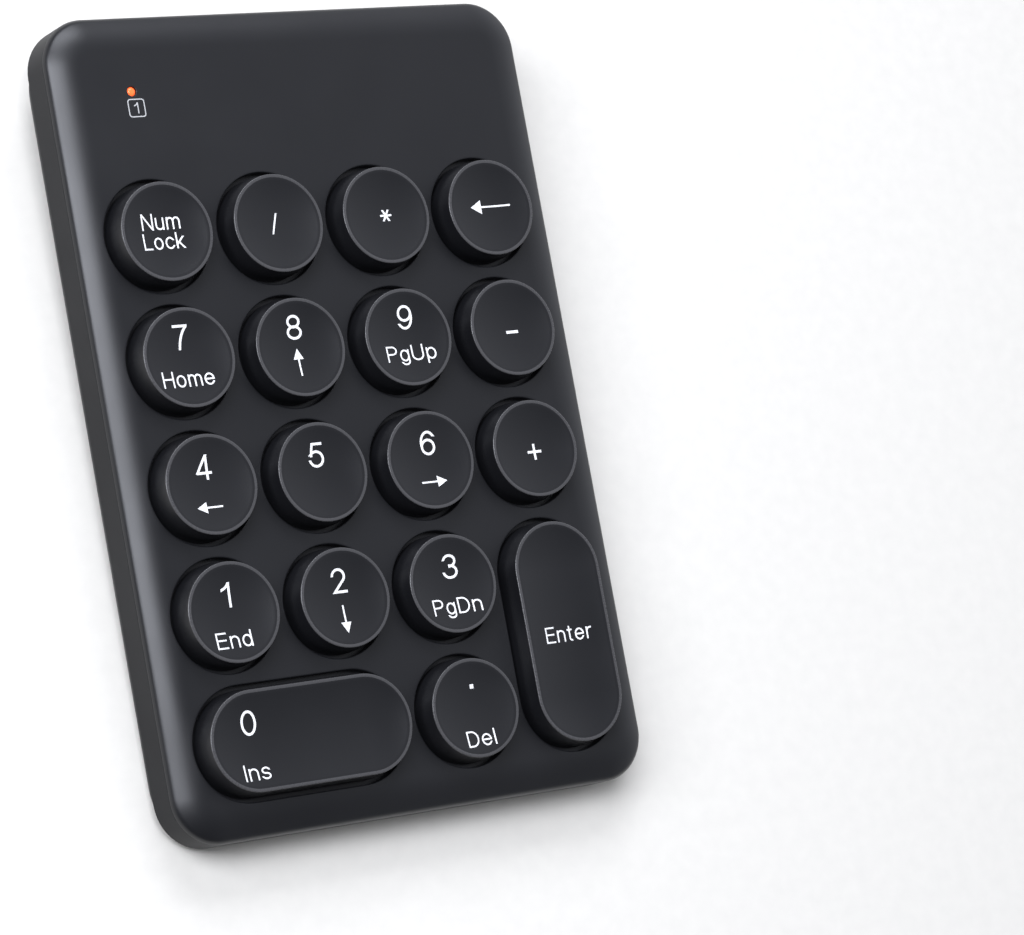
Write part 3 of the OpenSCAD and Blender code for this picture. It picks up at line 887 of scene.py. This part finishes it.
def build_legend(key, ink):
    """The digits, words, sign and arrow printed on one key."""
    bm = bmesh.new()
    pen = Print(bm, lambda x, y: dish_height(key, x, y))
    x = legend_x(key)
    if key.name in DIGIT_FOOT:
        width = ONE_W if key.name == "1" else DIGIT_W
        pen.text(key.name, x, key.y + DIGIT_FOOT[key.name], width, DIGIT_H, DIGIT_PEN)
    for words, baseline, width in WORDS.get(key.name, ()):
        pen.text(words, x, key.y + baseline, width, WORD_H, WORD_PEN)
    if key.name in SIGNS:
        words, shift, foot, width, height, thickness = SIGNS[key.name]
        pen.text(words, x + shift, key.y + foot, width, height, thickness)
    if key.name in ARROWS:
        tail, tip = ARROWS[key.name]
        head = LONG_ARROW_HEAD if key.name == "backspace" else ARROW_HEAD
        spot = Vector((x, key.y))
        pen.arrow(spot + Vector(tail), spot + Vector(tip), ARROW_PEN, *head)
    return finish_mesh(bm, "legend_" + key.name, [ink], key.body, crease=30)


# ---------------------------------------------------------------- the case


WALL_TOP = 0.3  # least height of the wall above the parting line
PARTING_ROUND = 0.1  # rounding of the wall's foot at the parting line
WALL_T = 3.4  # from the outline to the inner face of the wall
LIP_INSET = 2.0  # from the outline to the lip that enters the lower case
LIP_FOOT = -4.4
DECK_MARGIN = 0.05  # the open part of the deck starts this far inside the outline
LIP_STEPS = 5
OPENING_MARGIN = 0.25  # the ring round an opening's lip that joins the deck
LIGHT_R = 0.7
LIGHT_GAP = 0.05
LIGHT_LIP = 0.08
# Insets of the rows of points on the soft edge: close together at its foot, then even
ROW_INSETS = [0.12, 0.22, 0.34, 0.48, 0.64, 0.8] + [1.1 + 0.35 * i for i in range(14)]


def case_inset(x, y):
    """Distance of a point of the deck from the case's outline."""
    radius = sizes().corner_radius
    beyond_x = abs(x) - (CASE_W / 2 - radius)
    beyond_y = abs(y) - (CASE_L / 2 - radius)
    if beyond_x > 0 and beyond_y > 0:
        return radius - math.hypot(beyond_x, beyond_y)
    return radius - max(beyond_x, beyond_y)


def edge_drop():
    """Height that the soft edge loses from the deck down to the parting line."""
    s = sizes()
    return wide_radius() * (1 - math.cos(s.edge_turn)) + s.edge_foot_radius * math.cos(s.edge_turn)


def wide_radius():
    """Radius of the wide part of the deck's soft edge."""
    s = sizes()
    turn = s.edge_turn
    return (s.edge_run - s.edge_foot_radius * (1 - math.sin(turn))) / math.sin(turn)


def deck_height(x, y):
    """Height of the cover over a point. It falls softly towards the outline, in a wide arc and then
    a tight one."""
    s = sizes()
    inset = case_inset(x, y)
    small = s.edge_foot_radius
    if inset > small * (1 - math.sin(s.edge_turn)):
        wide = wide_radius()
        run = max(0.0, s.edge_run - inset)
        height = math.sqrt(wide**2 - run**2) - wide
    else:
        height = small * math.sqrt(1 - (1 - inset / small) ** 2) - edge_drop()
    return max(height, WALL_TOP - edge_drop())


def add_deck_ring(bm, plan, depth=0.0):
    """A ring that follows the deck's surface at a depth below it."""
    return [bm.verts.new((x, y, deck_height(x, y) - depth)) for x, y in plan]


def add_hole(bm, outline, section, foot):
    """The lip and wall of a hole in the deck. outline(distance) gives a ring round its middle, and
    section its rings' distances and depths below the deck. Returns the first and last rings."""
    rings = [add_deck_ring(bm, outline(distance), depth) for distance, depth in section]
    rings.append(add_ring(bm, outline(section[-1][0]), foot))
    for upper, lower in zip(rings, rings[1:]):
        join_rings(bm, upper, lower)
    return rings[0], rings[-1]


def lip_section(radius, lip, margin):
    """Distances and depths of a rounded lip of this size round a hole."""
    section = [(radius + lip + margin, 0), (radius + lip, 0)]
    for i in range(1, LIP_STEPS + 1):
        angle = math.pi / 2 * i / LIP_STEPS
        section.append((radius + lip * (1 - math.sin(angle)), lip * (1 - math.cos(angle))))
    return section


def soft_rows():
    """Points along rows parallel to the outline, across the part of the deck that curves."""
    return [spot for inset in ROW_INSETS for spot in case_outline(sizes().corner_radius, inset)]


def fill_deck(bm, outline, holes, inside_hole):
    """Triangles between the outline and the holes' rings, with more points where the deck curves."""
    rings = [outline] + holes
    corners = [vertex for ring in rings for vertex in ring]
    edges = []
    start = 0
    for ring in rings:
        edges += [(start + i, start + (i + 1) % len(ring)) for i in range(len(ring))]
        start += len(ring)
    rows = [spot for spot in soft_rows() if not inside_hole(*spot, OPENING_MARGIN / 2)]
    corners += add_deck_ring(bm, rows)
    flat = [vertex.co.xy for vertex in corners]
    every_triangle = 0
    spots, _, faces, sources, _, _ = delaunay_2d_cdt(flat, edges, [], every_triangle, 1e-6)
    nearest = [corners[source[0]] for source in sources]
    for face in faces:
        middle = sum((spots[i] for i in face), Vector((0, 0))) / 3
        if case_inset(*middle) > DECK_MARGIN and not inside_hole(*middle, 0):
            bm.faces.new([nearest[i] for i in face])


def fill_ceiling(bm, rings):
    """The flat underside of the deck: the first ring is its outline, the others are holes."""
    edges = []
    for ring in rings:
        edges += [bm.edges.get(pair) or bm.edges.new(pair) for pair in zip(ring, ring[1:] + ring[:1])]
    bmesh.ops.triangle_fill(bm, edges=edges, use_beauty=True, use_dissolve=False, normal=(0, 0, -1))


def middle_of(low, high):
    """Middle of a box in plan."""
    return (low.x + high.x) / 2, (low.y + high.y) / 2


def cover_section():
    """Section of the cover's wall below the soft edge, as insets and heights, round to its ceiling."""
    foot = -edge_drop()
    return [
        (0, foot + (WALL_TOP + PARTING_ROUND) / 2),
        (0, foot + PARTING_ROUND),
        (PARTING_ROUND, foot),
        (LIP_INSET, foot),
        (LIP_INSET, LIP_FOOT),
        (WALL_T, LIP_FOOT),
        (WALL_T, -sizes().deck_thickness),
    ]


def build_top_cover(plastic):
    """The upper half of the case, open below, with a hole for each key and for the status light."""
    bm = bmesh.new()
    s = sizes()
    rings = [add_deck_ring(bm, case_outline(s.corner_radius, DECK_MARGIN))]
    for inset, height in cover_section():
        rings.append(add_ring(bm, case_outline(s.corner_radius, inset), height))
    for outer, lower in zip(rings, rings[1:]):
        join_rings(bm, outer, lower)

    light_x, light_y = middle_of(*deck_box("light_pipe"))
    key_lip = lip_section(s.opening_radius, s.opening_lip, OPENING_MARGIN)
    light_lip = lip_section(LIGHT_R + LIGHT_GAP, LIGHT_LIP, LIGHT_LIP)
    holes = [add_hole(bm, key.outline, key_lip, -s.deck_thickness) for key in KEYS]
    holes.append(add_hole(bm, circles_at(light_x, light_y), light_lip, -s.deck_thickness))

    def inside_hole(x, y, margin):
        if math.hypot(x - light_x, y - light_y) < light_lip[0][0] + margin:
            return True
        return any(key.spine_distance(x, y) < key_lip[0][0] + margin for key in KEYS)

    fill_deck(bm, rings[0], [top for top, foot in holes], inside_hole)
    fill_ceiling(bm, [rings[-1]] + [foot for top, foot in holes])
    return finish_mesh(bm, "top_shell", [plastic], CASE_BODY, ["top_cover"], crease=40)


ROUNDED_FROM = 35.0  # edges that turn by more degrees than this are rounded
FLAT_WITHIN = 0.5  # faces that turn by fewer degrees than this are one face
COINCIDENT = 1e-7  # points of a CAD node closer than this are one point, in metres


def merged_copy(node):
    """A CAD node's mesh with its loose triangles merged."""
    bm = bmesh.new()
    bm.from_mesh(frame["nodes"][node].data)
    bmesh.ops.remove_doubles(bm, verts=bm.verts, dist=COINCIDENT)
    return bm


def softened_copy(node, name, material, body, width):
    """A piece that is a copy of a CAD node with its edges rounded."""
    bm = merged_copy(node)
    bmesh.ops.dissolve_degenerate(bm, edges=bm.edges, dist=COINCIDENT)
    bmesh.ops.dissolve_limit(bm, angle_limit=math.radians(FLAT_WITHIN), verts=bm.verts, edges=bm.edges)
    shade(bm, ROUNDED_FROM)
    for face in bm.faces:
        face.material_index = 0
    piece = make_object(name, bm, [material])
    rounding = piece.modifiers.new("rounded edges", "BEVEL")
    rounding.width = width * MM
    rounding.segments = 2
    rounding.limit_method = "ANGLE"
    rounding.angle_limit = math.radians(ROUNDED_FROM)
    rounding.use_clamp_overlap = True
    rounding.harden_normals = True
    return adopt(piece, body, [node])


# ---------------------------------------------------------------- Geometry Nodes


def node_group(name, lengths):
    """A geometry tree that takes a mesh of points, named lengths in metres, a lean and a material."""
    tree = bpy.data.node_groups.new(name, "GeometryNodeTree")
    tree.interface.new_socket("Points", in_out="INPUT", socket_type="NodeSocketGeometry")
    for label in (*lengths, "Lean"):
        tree.interface.new_socket(label, in_out="INPUT", socket_type="NodeSocketFloat")
    tree.interface.new_socket("Material", in_out="INPUT", socket_type="NodeSocketMaterial")
    tree.interface.new_socket("Geometry", in_out="OUTPUT", socket_type="NodeSocketGeometry")
    return tree, tree.nodes.new("NodeGroupInput").outputs


def add_node(tree, kind, values=None, **settings):
    """A node with these settings; values maps input names to numbers or to sockets to link."""
    node = tree.nodes.new(kind)
    for setting, value in settings.items():
        setattr(node, setting, value)
    for label, value in (values or {}).items():
        if isinstance(value, bpy.types.NodeSocket):
            tree.links.new(value, node.inputs[label])
        else:
            node.inputs[label].default_value = value
    return node


def join_parts(tree, parts):
    """One geometry from several."""
    joined = tree.nodes.new("GeometryNodeJoinGeometry")
    for part in parts:
        tree.links.new(part, joined.inputs[0])
    return joined.outputs[0]


def turned_part(tree, profile, vertices=48):
    """A closed turned solid. The profile's points are sockets: radius and height, None for 0."""
    parts = []
    for (low_radius, low), (high_radius, high) in zip(profile, profile[1:]):
        depth = add_node(tree, "ShaderNodeMath", {0: high}, operation="SUBTRACT")
        depth.inputs[1].default_value = 0.0
        if low is not None:
            tree.links.new(low, depth.inputs[1])
        sizes_in = {"Radius Bottom": low_radius, "Radius Top": high_radius, "Depth": depth.outputs[0]}
        ring = add_node(
            tree, "GeometryNodeMeshCone", {"Vertices": vertices, **sizes_in}, fill_type="NONE"
        )
        parts.append(raised(tree, ring.outputs["Mesh"], low))
    for radius, height in (profile[0], profile[-1]):
        disc = add_node(
            tree, "GeometryNodeMeshCircle", {"Vertices": vertices, "Radius": radius}, fill_type="NGON"
        )
        parts.append(raised(tree, disc.outputs["Mesh"], height))
    return add_node(
        tree, "GeometryNodeMergeByDistance", {"Geometry": join_parts(tree, parts), "Distance": 1e-6}
    ).outputs[0]


def raised(tree, part, height):
    """A part moved up by a socket's value, or left where it is."""
    if height is None:
        return part
    shift = add_node(tree, "ShaderNodeCombineXYZ", {"Z": height})
    values = {"Geometry": part, "Translation": shift.outputs[0]}
    return add_node(tree, "GeometryNodeTransform", values).outputs[0]


def end_tree(tree, size, part):
    """Sets the part on every point, leaned back about x, and closes the tree."""
    turn = add_node(tree, "ShaderNodeCombineXYZ", {"X": size["Lean"]})
    copies = add_node(
        tree,
        "GeometryNodeInstanceOnPoints",
        {"Points": size["Points"], "Instance": part, "Rotation": turn.outputs[0]},
    )
    real = add_node(tree, "GeometryNodeRealizeInstances", {"Geometry": copies.outputs[0]})
    painted = add_node(
        tree, "GeometryNodeSetMaterial", {"Geometry": real.outputs[0], "Material": size["Material"]}
    )
    output = tree.nodes.new("NodeGroupOutput")
    tree.links.new(painted.outputs[0], output.inputs[0])
    return tree


def foot_tree():
    """Rubber discs with a worn lower edge."""
    tree, size = node_group("rubber feet", ("Face Radius", "Radius", "Rounding", "Height"))
    radius = size["Radius"]
    profile = [(size["Face Radius"], None), (radius, size["Rounding"]), (radius, size["Height"])]
    return end_tree(tree, size, turned_part(tree, profile))


def screw_tree():
    """Screws that point up, with a cross sunk into the head."""
    lengths = ("Face Radius", "Head Radius", "Rounding", "Head Height", "Neck Height")
    cross = ("Cross Length", "Cross Width", "Cross Height")
    tree, size = node_group("case screws", (*lengths, "Shank Radius", "Length", *cross))
    profile = [
        (size["Face Radius"], None),
        (size["Head Radius"], size["Rounding"]),
        (size["Head Radius"], size["Head Height"]),
        (size["Shank Radius"], size["Neck Height"]),
        (size["Shank Radius"], size["Length"]),
    ]
    bars = []
    for across, along in (("Cross Length", "Cross Width"), ("Cross Width", "Cross Length")):
        box = add_node(
            tree,
            "ShaderNodeCombineXYZ",
            {"X": size[across], "Y": size[along], "Z": size["Cross Height"]},
        )
        bars.append(add_node(tree, "GeometryNodeMeshCube", {"Size": box.outputs[0]}).outputs[0])
    cut = add_node(tree, "GeometryNodeMeshBoolean", operation="DIFFERENCE")
    tree.links.new(turned_part(tree, profile), cut.inputs["Mesh 1"])
    for bar in bars:
        tree.links.new(bar, cut.inputs["Mesh 2"])
    return end_tree(tree, size, cut.outputs[0])


def grow(name, tree, points, values, body, replaces):
    """Runs a tree on a mesh of loose points, in metres, and keeps the plain mesh that it makes."""
    seed = bpy.data.meshes.new(name + "_points")
    seed.from_pydata(points, [], [])
    carrier = bpy.data.objects.new(name + "_carrier", seed)
    bpy.context.scene.collection.objects.link(carrier)
    modifier = carrier.modifiers.new(name, "NODES")
    modifier.node_group = tree
    for item in tree.interface.items_tree:
        if item.in_out == "INPUT" and item.name in values:
            modifier[item.identifier] = values[item.name]
    evaluated = carrier.evaluated_get(bpy.context.evaluated_depsgraph_get())
    grown = bpy.data.meshes.new_from_object(evaluated)
    bpy.data.objects.remove(carrier)
    bm = bmesh.new()
    bm.from_mesh(grown)
    materials = list(grown.materials)
    return finish_mesh(bm, name, materials, body, replaces, crease=30, place=Matrix(), apart=1e-7)


def separate_boxes(node, place):
    """Lowest and highest corner of each loose part of a CAD node, after a change of frame."""
    bm = merged_copy(node)
    reached = set()
    boxes = []
    for first in bm.verts:
        if first in reached:
            continue
        reached.add(first)
        part = [first]
        for vertex in part:
            for edge in vertex.link_edges:
                other = edge.other_vert(vertex)
                if other not in reached:
                    reached.add(other)
                    part.append(other)
        boxes.append(box_of([place @ vertex.co for vertex in part]))
    bm.free()
    return boxes


# ---------------------------------------------------------------- operators


class KeypadOperator:
    """What every builder of the keypad has in common."""

    bl_options = {"REGISTER", "UNDO"}


class KEYPAD_OT_top_cover(KeypadOperator, bpy.types.Operator):
    """Builds the upper half of the case with its openings"""

    bl_idname = "keypad.top_cover"
    bl_label = "Top Cover"

    def execute(self, context):
        build_top_cover(moulded_plastic("case plastic", colours().case, 0.38))
        return {"FINISHED"}


class KEYPAD_OT_lower_case(KeypadOperator, bpy.types.Operator):
    """Builds the lower half of the case and the battery door"""

    bl_idname = "keypad.lower_case"
    bl_label = "Lower Case and Door"

    def execute(self, context):
        plastic = moulded_plastic("base plastic", colours().base, 0.5, shine=0.2)
        width = sizes().soft_edge
        softened_copy("bottom_cover", "lower_shell", plastic, CASE_BODY, width)
        softened_copy("battery_door", "battery_door_shell", plastic, DOOR_BODY, width)
        return {"FINISHED"}


class KEYPAD_OT_keys(KeypadOperator, bpy.types.Operator):
    """Builds the eighteen keys"""

    bl_idname = "keypad.keys"
    bl_label = "Keys"

    def execute(self, context):
        plastic = moulded_plastic("key plastic", colours().key, 0.36, wear=1.1)
        # The rim's pale colour is a painted highlight
        rim = plain_finish("key rim painted highlight", colours().rim, 0.28)
        for key in KEYS:
            build_key(key, plastic, rim)
        return {"FINISHED"}


class KEYPAD_OT_legends(KeypadOperator, bpy.types.Operator):
    """Prints the legends on the keys and the boxed figure by the status light"""

    bl_idname = "keypad.legends"
    bl_label = "Legends"

    def execute(self, context):
        ink = plain_finish("legend ink", colours().ink, 0.5)
        for key in KEYS:
            build_legend(key, ink)
        build_light_mark(plain_finish("mark ink", scaled(colours().ink, 0.55), 0.5))
        return {"FINISHED"}


MARK_SIDE = 2.85
MARK_CORNER = 0.4
MARK_SHIFT = 0.35  # the box stands this far to the right of the light
MARK_BELOW_LIGHT = 2.6
MARK_PEN = 0.17
FIGURE_W = 0.7
FIGURE_H = 1.7
FIGURE_SHIFT = -0.05


def build_light_mark(ink):
    """A figure one in a box with round corners, printed on the deck below the status light."""
    bm = bmesh.new()
    light_x, light_y = middle_of(*deck_box("light_pipe"))
    x, y = light_x + MARK_SHIFT, light_y - MARK_BELOW_LIGHT
    pen = Print(bm, lambda px, py: 0.0)
    reach = MARK_SIDE / 2 - MARK_PEN / 2 - MARK_CORNER
    outline = []
    for turn, (side_x, side_y) in enumerate(CORNER_SIDES):
        cx, cy = x + side_x * reach, y + side_y * reach
        outline += arc_points(cx, cy, MARK_CORNER, MARK_CORNER, 90 * turn, 90 * turn + 90, 6)
    pen.stroke(outline + outline[:1], MARK_PEN)
    pen.text("1", x + FIGURE_SHIFT, y - FIGURE_H / 2, FIGURE_W, FIGURE_H, MARK_PEN)
    return finish_mesh(bm, "light_mark", [ink], CASE_BODY, crease=30)


LIT_DEPTH = 0.4  # how far down the end of the light pipe glows
LENS_CROWN = ((0, 0), (0.45, 0.02), (0.8, 0.1), (1, 0.3))  # shares of its radius, and depths below its top
PIPE_SHOULDER = -1.8  # height where the pipe grows wide, under the deck


def build_light_lens(lit, unlit):
    """The light pipe: a domed end that glows on a wider, unlit foot."""
    low, high = deck_box("light_pipe")
    foot_r = (high.x - low.x) / 2
    bm = bmesh.new()
    section = [(LIGHT_R * share, high.z - depth) for share, depth in LENS_CROWN]
    section += [(LIGHT_R, PIPE_SHOULDER), (foot_r, PIPE_SHOULDER), (foot_r, low.z), (0, low.z)]
    add_skin(bm, circles_at(*middle_of(low, high)), section)
    for face in bm.faces:
        face.material_index = int(face.calc_center_median().z < high.z - LIT_DEPTH)
    finish_mesh(bm, "light_lens", [lit, unlit], CASE_BODY, ["light_pipe"], crease=50)


class KEYPAD_OT_status_light(KeypadOperator, bpy.types.Operator):
    """Builds the lit end of the light pipe"""

    bl_idname = "keypad.status_light"
    bl_label = "Status Light"

    def execute(self, context):
        lit = lit_plastic("lit light pipe", colours().light, 0.95)
        unlit = plain_finish("unlit light pipe", (0.12, 0.03, 0.015), 0.4)
        build_light_lens(lit, unlit)
        return {"FINISHED"}


# Sizes of the feet and screws that their boxes don't give
FOOT_ROUND = 0.3
SCREW_ROUND = 0.15
HEAD_H = 1.1
SHANK_R = 0.95
CROSS_L = 2.2
CROSS_W = 0.5
CROSS_DEPTH = 0.6


def build_feet(rubber):
    """The four feet, grown on the middles of their faces."""
    boxes = separate_boxes("rubber_feet", Matrix())
    low, high = boxes[0]
    radius = (high.x - low.x) / 2
    values = {
        "Face Radius": radius - FOOT_ROUND * MM,
        "Radius": radius,
        "Rounding": FOOT_ROUND * MM,
        "Height": high.z - low.z,
        "Lean": 0.0,
        "Material": rubber,
    }
    points = [(*middle_of(low, high), low.z) for low, high in boxes]
    grow("foot_pads", foot_tree(), points, values, CASE_BODY, ["rubber_feet"])


def build_screws(steel):
    """The six screws, grown on the middles of their heads and leaned with the deck."""
    boxes = separate_boxes("case_screws", TO_ROW.inverted())
    low, high = boxes[0]
    head = (high.x - low.x) / 2
    lengths = {
        "Face Radius": head - SCREW_ROUND,
        "Head Radius": head,
        "Rounding": SCREW_ROUND,
        "Head Height": HEAD_H - SCREW_ROUND,
        "Neck Height": HEAD_H,
        "Shank Radius": SHANK_R,
        "Length": high.z - low.z,
        "Cross Length": CROSS_L,
        "Cross Width": CROSS_W,
        "Cross Height": 2 * CROSS_DEPTH,
    }
    values = {label: length * MM for label, length in lengths.items()}
    values.update({"Lean": LEAN, "Material": steel})
    points = [TO_ROW @ Vector((*middle_of(low, high), low.z)) for low, high in boxes]
    grow("screw_heads", screw_tree(), points, values, CASE_BODY, ["case_screws"])


class KEYPAD_OT_underside(KeypadOperator, bpy.types.Operator):
    """Finishes the feet, the screws and the power switch"""

    bl_idname = "keypad.underside"
    bl_label = "Feet, Screws and Switch"

    def execute(self, context):
        rubber = moulded_plastic("foot rubber", (0.018, 0.018, 0.019), 0.8, 3000, 12e-6, wear=1.2)
        steel = brushed_metal("screw steel", (0.5, 0.5, 0.52), 0.32)
        knob = moulded_plastic("knob plastic", (0.06, 0.06, 0.065), 0.5)
        build_feet(rubber)
        build_screws(steel)
        softened_copy("switch_knob", "power_knob", knob, KNOB_BODY, 0.15)
        return {"FINISHED"}


class KEYPAD_OT_inner_parts(KeypadOperator, bpy.types.Operator):
    """Gives the parts inside their finishes and each dome its own copy of its mesh"""

    bl_idname = "keypad.inner_parts"
    bl_label = "Inner Parts"

    def execute(self, context):
        film = plain_finish("circuit film", (0.55, 0.68, 0.64), 0.2)
        contact = brushed_metal("contact metal", (0.75, 0.74, 0.70), 0.2)
        finishes = {
            "guide_plate": moulded_plastic("guide plastic", (0.55, 0.56, 0.57), 0.5),
            "upper_circuit_sheet": film,
            "spacer_sheet": film,
            "lower_circuit_sheet": film,
            "backing_plate": brushed_metal("backing metal", (0.45, 0.47, 0.5), 0.35),
            "main_board": plain_finish("board", (0.02, 0.16, 0.06), 0.3),
            "control_chip": plain_finish("chip", (0.02, 0.02, 0.02), 0.5),
            "status_led": lit_plastic("led", colours().light, 0.1),
            "switch_body": contact,
            "cell_rear": cell_jacket_finish(),
            "positive_contact": contact,
            "negative_contact": contact,
            "bridge_contact": contact,
            "contact_springs": contact,
        }
        finishes["cell_front"] = finishes["cell_rear"]
        silicone = plain_finish("dome rubber", (0.62, 0.65, 0.67), 0.45)
        for key in KEYS:
            finishes["dome_" + key.name] = silicone
        for node, finish in finishes.items():
            materials = frame["nodes"][node].data.materials
            materials.clear()
            materials.append(finish)
        for key in KEYS:
            squash_dome(key)
        return {"FINISHED"}


def squash_dome(key):
    """Gives a key's dome its own copy of its mesh."""
    dome = frame["nodes"]["dome_" + key.name]
    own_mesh(dome)


class KEYPAD_OT_stage(KeypadOperator, bpy.types.Operator):
    """Lays the floor, sets the lights and places the camera"""

    bl_idname = "keypad.stage"
    bl_label = "Stage"

    def execute(self, context):
        lay_floor()
        set_sky()
        for light in LIGHTS:
            area_light(*light)
        place_camera()
        set_tones()
        return {"FINISHED"}


FLOOR_HALF = 4.0  # half the floor's side, in metres
FLOOR_GLOW = 0.06
COOL_WHITE = (0.94, 0.97, 1.06)
# Soft lights that aim at the keypad: name, place in millimetres, width, height and power in watts
LIGHTS = (
    ("rear softbox", (-60, 640, 580), 560, 320, 4.5),
    ("left strip", (-530, 160, 740), 400, 900, 13),
)
# How the sky brightens along each axis: where the change starts and ends, and the levels there
SKY_RIGHT = (0.1, 0.75, 0.0, 1.0)
SKY_REAR = (-0.5, 0.35, 0.3, 0.85)
SKY_LOW = (0.55, 0.2, 0.9, 1.3)
SKY_LEAST = 0.07
# The camera in the deck frame: its place, and where its picture's right and lower sides point
CAMERA_PLACE = Vector((-318.80, -80.42, 539.36))
CAMERA_RIGHT = Vector((0.8390572, -0.17944596, 0.51359727))
CAMERA_DOWN = Vector((-0.09601383, -0.97806178, -0.18486887))
CAMERA_LENS = 145.57
CAMERA_SENSOR = 36


def lay_floor():
    """A wide sheet of pale paper."""
    mesh = bpy.data.meshes.new("floor")
    corners = [(x * FLOOR_HALF, y * FLOOR_HALF, 0) for x, y in ((-1, -1), (1, -1), (1, 1), (-1, 1))]
    mesh.from_pydata(corners, [], [(0, 1, 2, 3)])
    floor = bpy.data.objects.new("floor", mesh)
    paper = plain_finish("floor paper", colours().floor, 0.9, grain_per_metre=400)
    shader = paper.node_tree.nodes["Principled BSDF"]
    shader.inputs["Emission Color"].default_value = (1, 1, 1, 1)
    shader.inputs["Emission Strength"].default_value = FLOOR_GLOW
    mesh.materials.append(paper)
    bpy.context.scene.collection.objects.link(floor)


def area_light(name, place, width, height, watts):
    """A soft rectangular light at a place in millimetres, aimed at the keypad."""
    data = bpy.data.lights.new(name, "AREA")
    data.shape = "RECTANGLE"
    data.size = width * MM
    data.size_y = height * MM
    data.energy = watts
    data.color = COOL_WHITE
    light = bpy.data.objects.new(name, data)
    light.location = Vector(place) * MM
    light.rotation_mode = "QUATERNION"
    light.rotation_quaternion = (-light.location).to_track_quat("-Z", "Y")
    bpy.context.scene.collection.objects.link(light)


def ramp(tree, value, start, end, low, high):
    """Changes smoothly from low, where value is start, to high, where it is end."""
    node = tree.nodes.new("ShaderNodeMapRange")
    node.interpolation_type = "SMOOTHSTEP"
    node.inputs["From Min"].default_value = start
    node.inputs["From Max"].default_value = end
    node.inputs["To Min"].default_value = low
    node.inputs["To Max"].default_value = high
    tree.links.new(value, node.inputs["Value"])
    return node.outputs["Result"]


def combine(tree, operation, first, second):
    """A sum or product of two values, which are sockets or numbers."""
    return add_node(tree, "ShaderNodeMath", {0: first, 1: second}, operation=operation).outputs[0]


def set_sky():
    """A dim studio whose right and rear are pale and whose front is dark."""
    world = bpy.data.worlds.new("studio")
    bpy.context.scene.world = world
    world.use_nodes = True
    tree = world.node_tree
    place = tree.nodes.new("ShaderNodeTexCoord")
    split = add_node(tree, "ShaderNodeSeparateXYZ", {"Vector": place.outputs["Generated"]})
    right = ramp(tree, split.outputs["X"], *SKY_RIGHT)
    rear = ramp(tree, split.outputs["Y"], *SKY_REAR)
    low = ramp(tree, split.outputs["Z"], *SKY_LOW)
    pale = combine(tree, "MULTIPLY", combine(tree, "MULTIPLY", right, rear), low)
    background = tree.nodes["Background"]
    tree.links.new(combine(tree, "ADD", pale, SKY_LEAST), background.inputs["Strength"])
    background.inputs["Color"].default_value = (*COOL_WHITE, 1)


def set_tones():
    """Whites come out white and blacks keep their depth."""
    bpy.context.scene.view_settings.view_transform = "Standard"


def place_camera():
    """Sets the camera up in the deck frame and leans it with the deck."""
    data = bpy.data.cameras.new("camera")
    data.lens = CAMERA_LENS
    data.sensor_width = CAMERA_SENSOR
    camera = bpy.data.objects.new("camera", data)
    ahead = CAMERA_RIGHT.cross(CAMERA_DOWN)
    turn = Matrix((CAMERA_RIGHT, -CAMERA_DOWN, -ahead)).transposed()
    lean = Matrix.Rotation(LEAN, 3, "X")
    camera.rotation_mode = "QUATERNION"
    camera.rotation_quaternion = (lean @ turn).to_quaternion()
    camera.location = TO_ROW @ CAMERA_PLACE
    bpy.context.scene.collection.objects.link(camera)
    bpy.context.scene.camera = camera


# ---------------------------------------------------------------- panel and registration

BUILDERS = (
    KEYPAD_OT_top_cover,
    KEYPAD_OT_lower_case,
    KEYPAD_OT_keys,
    KEYPAD_OT_legends,
    KEYPAD_OT_status_light,
    KEYPAD_OT_underside,
    KEYPAD_OT_inner_parts,
    KEYPAD_OT_stage,
)


class KEYPAD_PT_panel(bpy.types.Panel):
    """Lists the keypad's sizes, colours and builders."""

    bl_idname = "KEYPAD_PT_panel"
    bl_label = "Numeric Keypad"
    bl_space_type = "VIEW_3D"
    bl_region_type = "UI"
    bl_category = "Keypad"

    def draw(self, context):
        layout = self.layout
        for group in (context.scene.keypad_sizes, context.scene.keypad_colours):
            box = layout.box()
            for name in group.__annotations__:
                box.prop(group, name)
        for builder in BUILDERS:
            layout.operator(builder.bl_idname)


CLASSES = (KeypadSizes, KeypadColours, *BUILDERS, KEYPAD_PT_panel)


def register():
    for cls in CLASSES:
        bpy.utils.register_class(cls)
    bpy.types.Scene.keypad_sizes = PointerProperty(type=KeypadSizes)
    bpy.types.Scene.keypad_colours = PointerProperty(type=KeypadColours)


def unregister():
    del bpy.types.Scene.keypad_colours
    del bpy.types.Scene.keypad_sizes
    for cls in reversed(CLASSES):
        bpy.utils.unregister_class(cls)


def run(identifier):
    """Calls an operator by its identifier."""
    group, name = identifier.split(".")
    getattr(getattr(bpy.ops, group), name)()


def main():
    register()
    for builder in BUILDERS:
        run(builder.bl_idname)


if __name__ == "__main__":
    main()
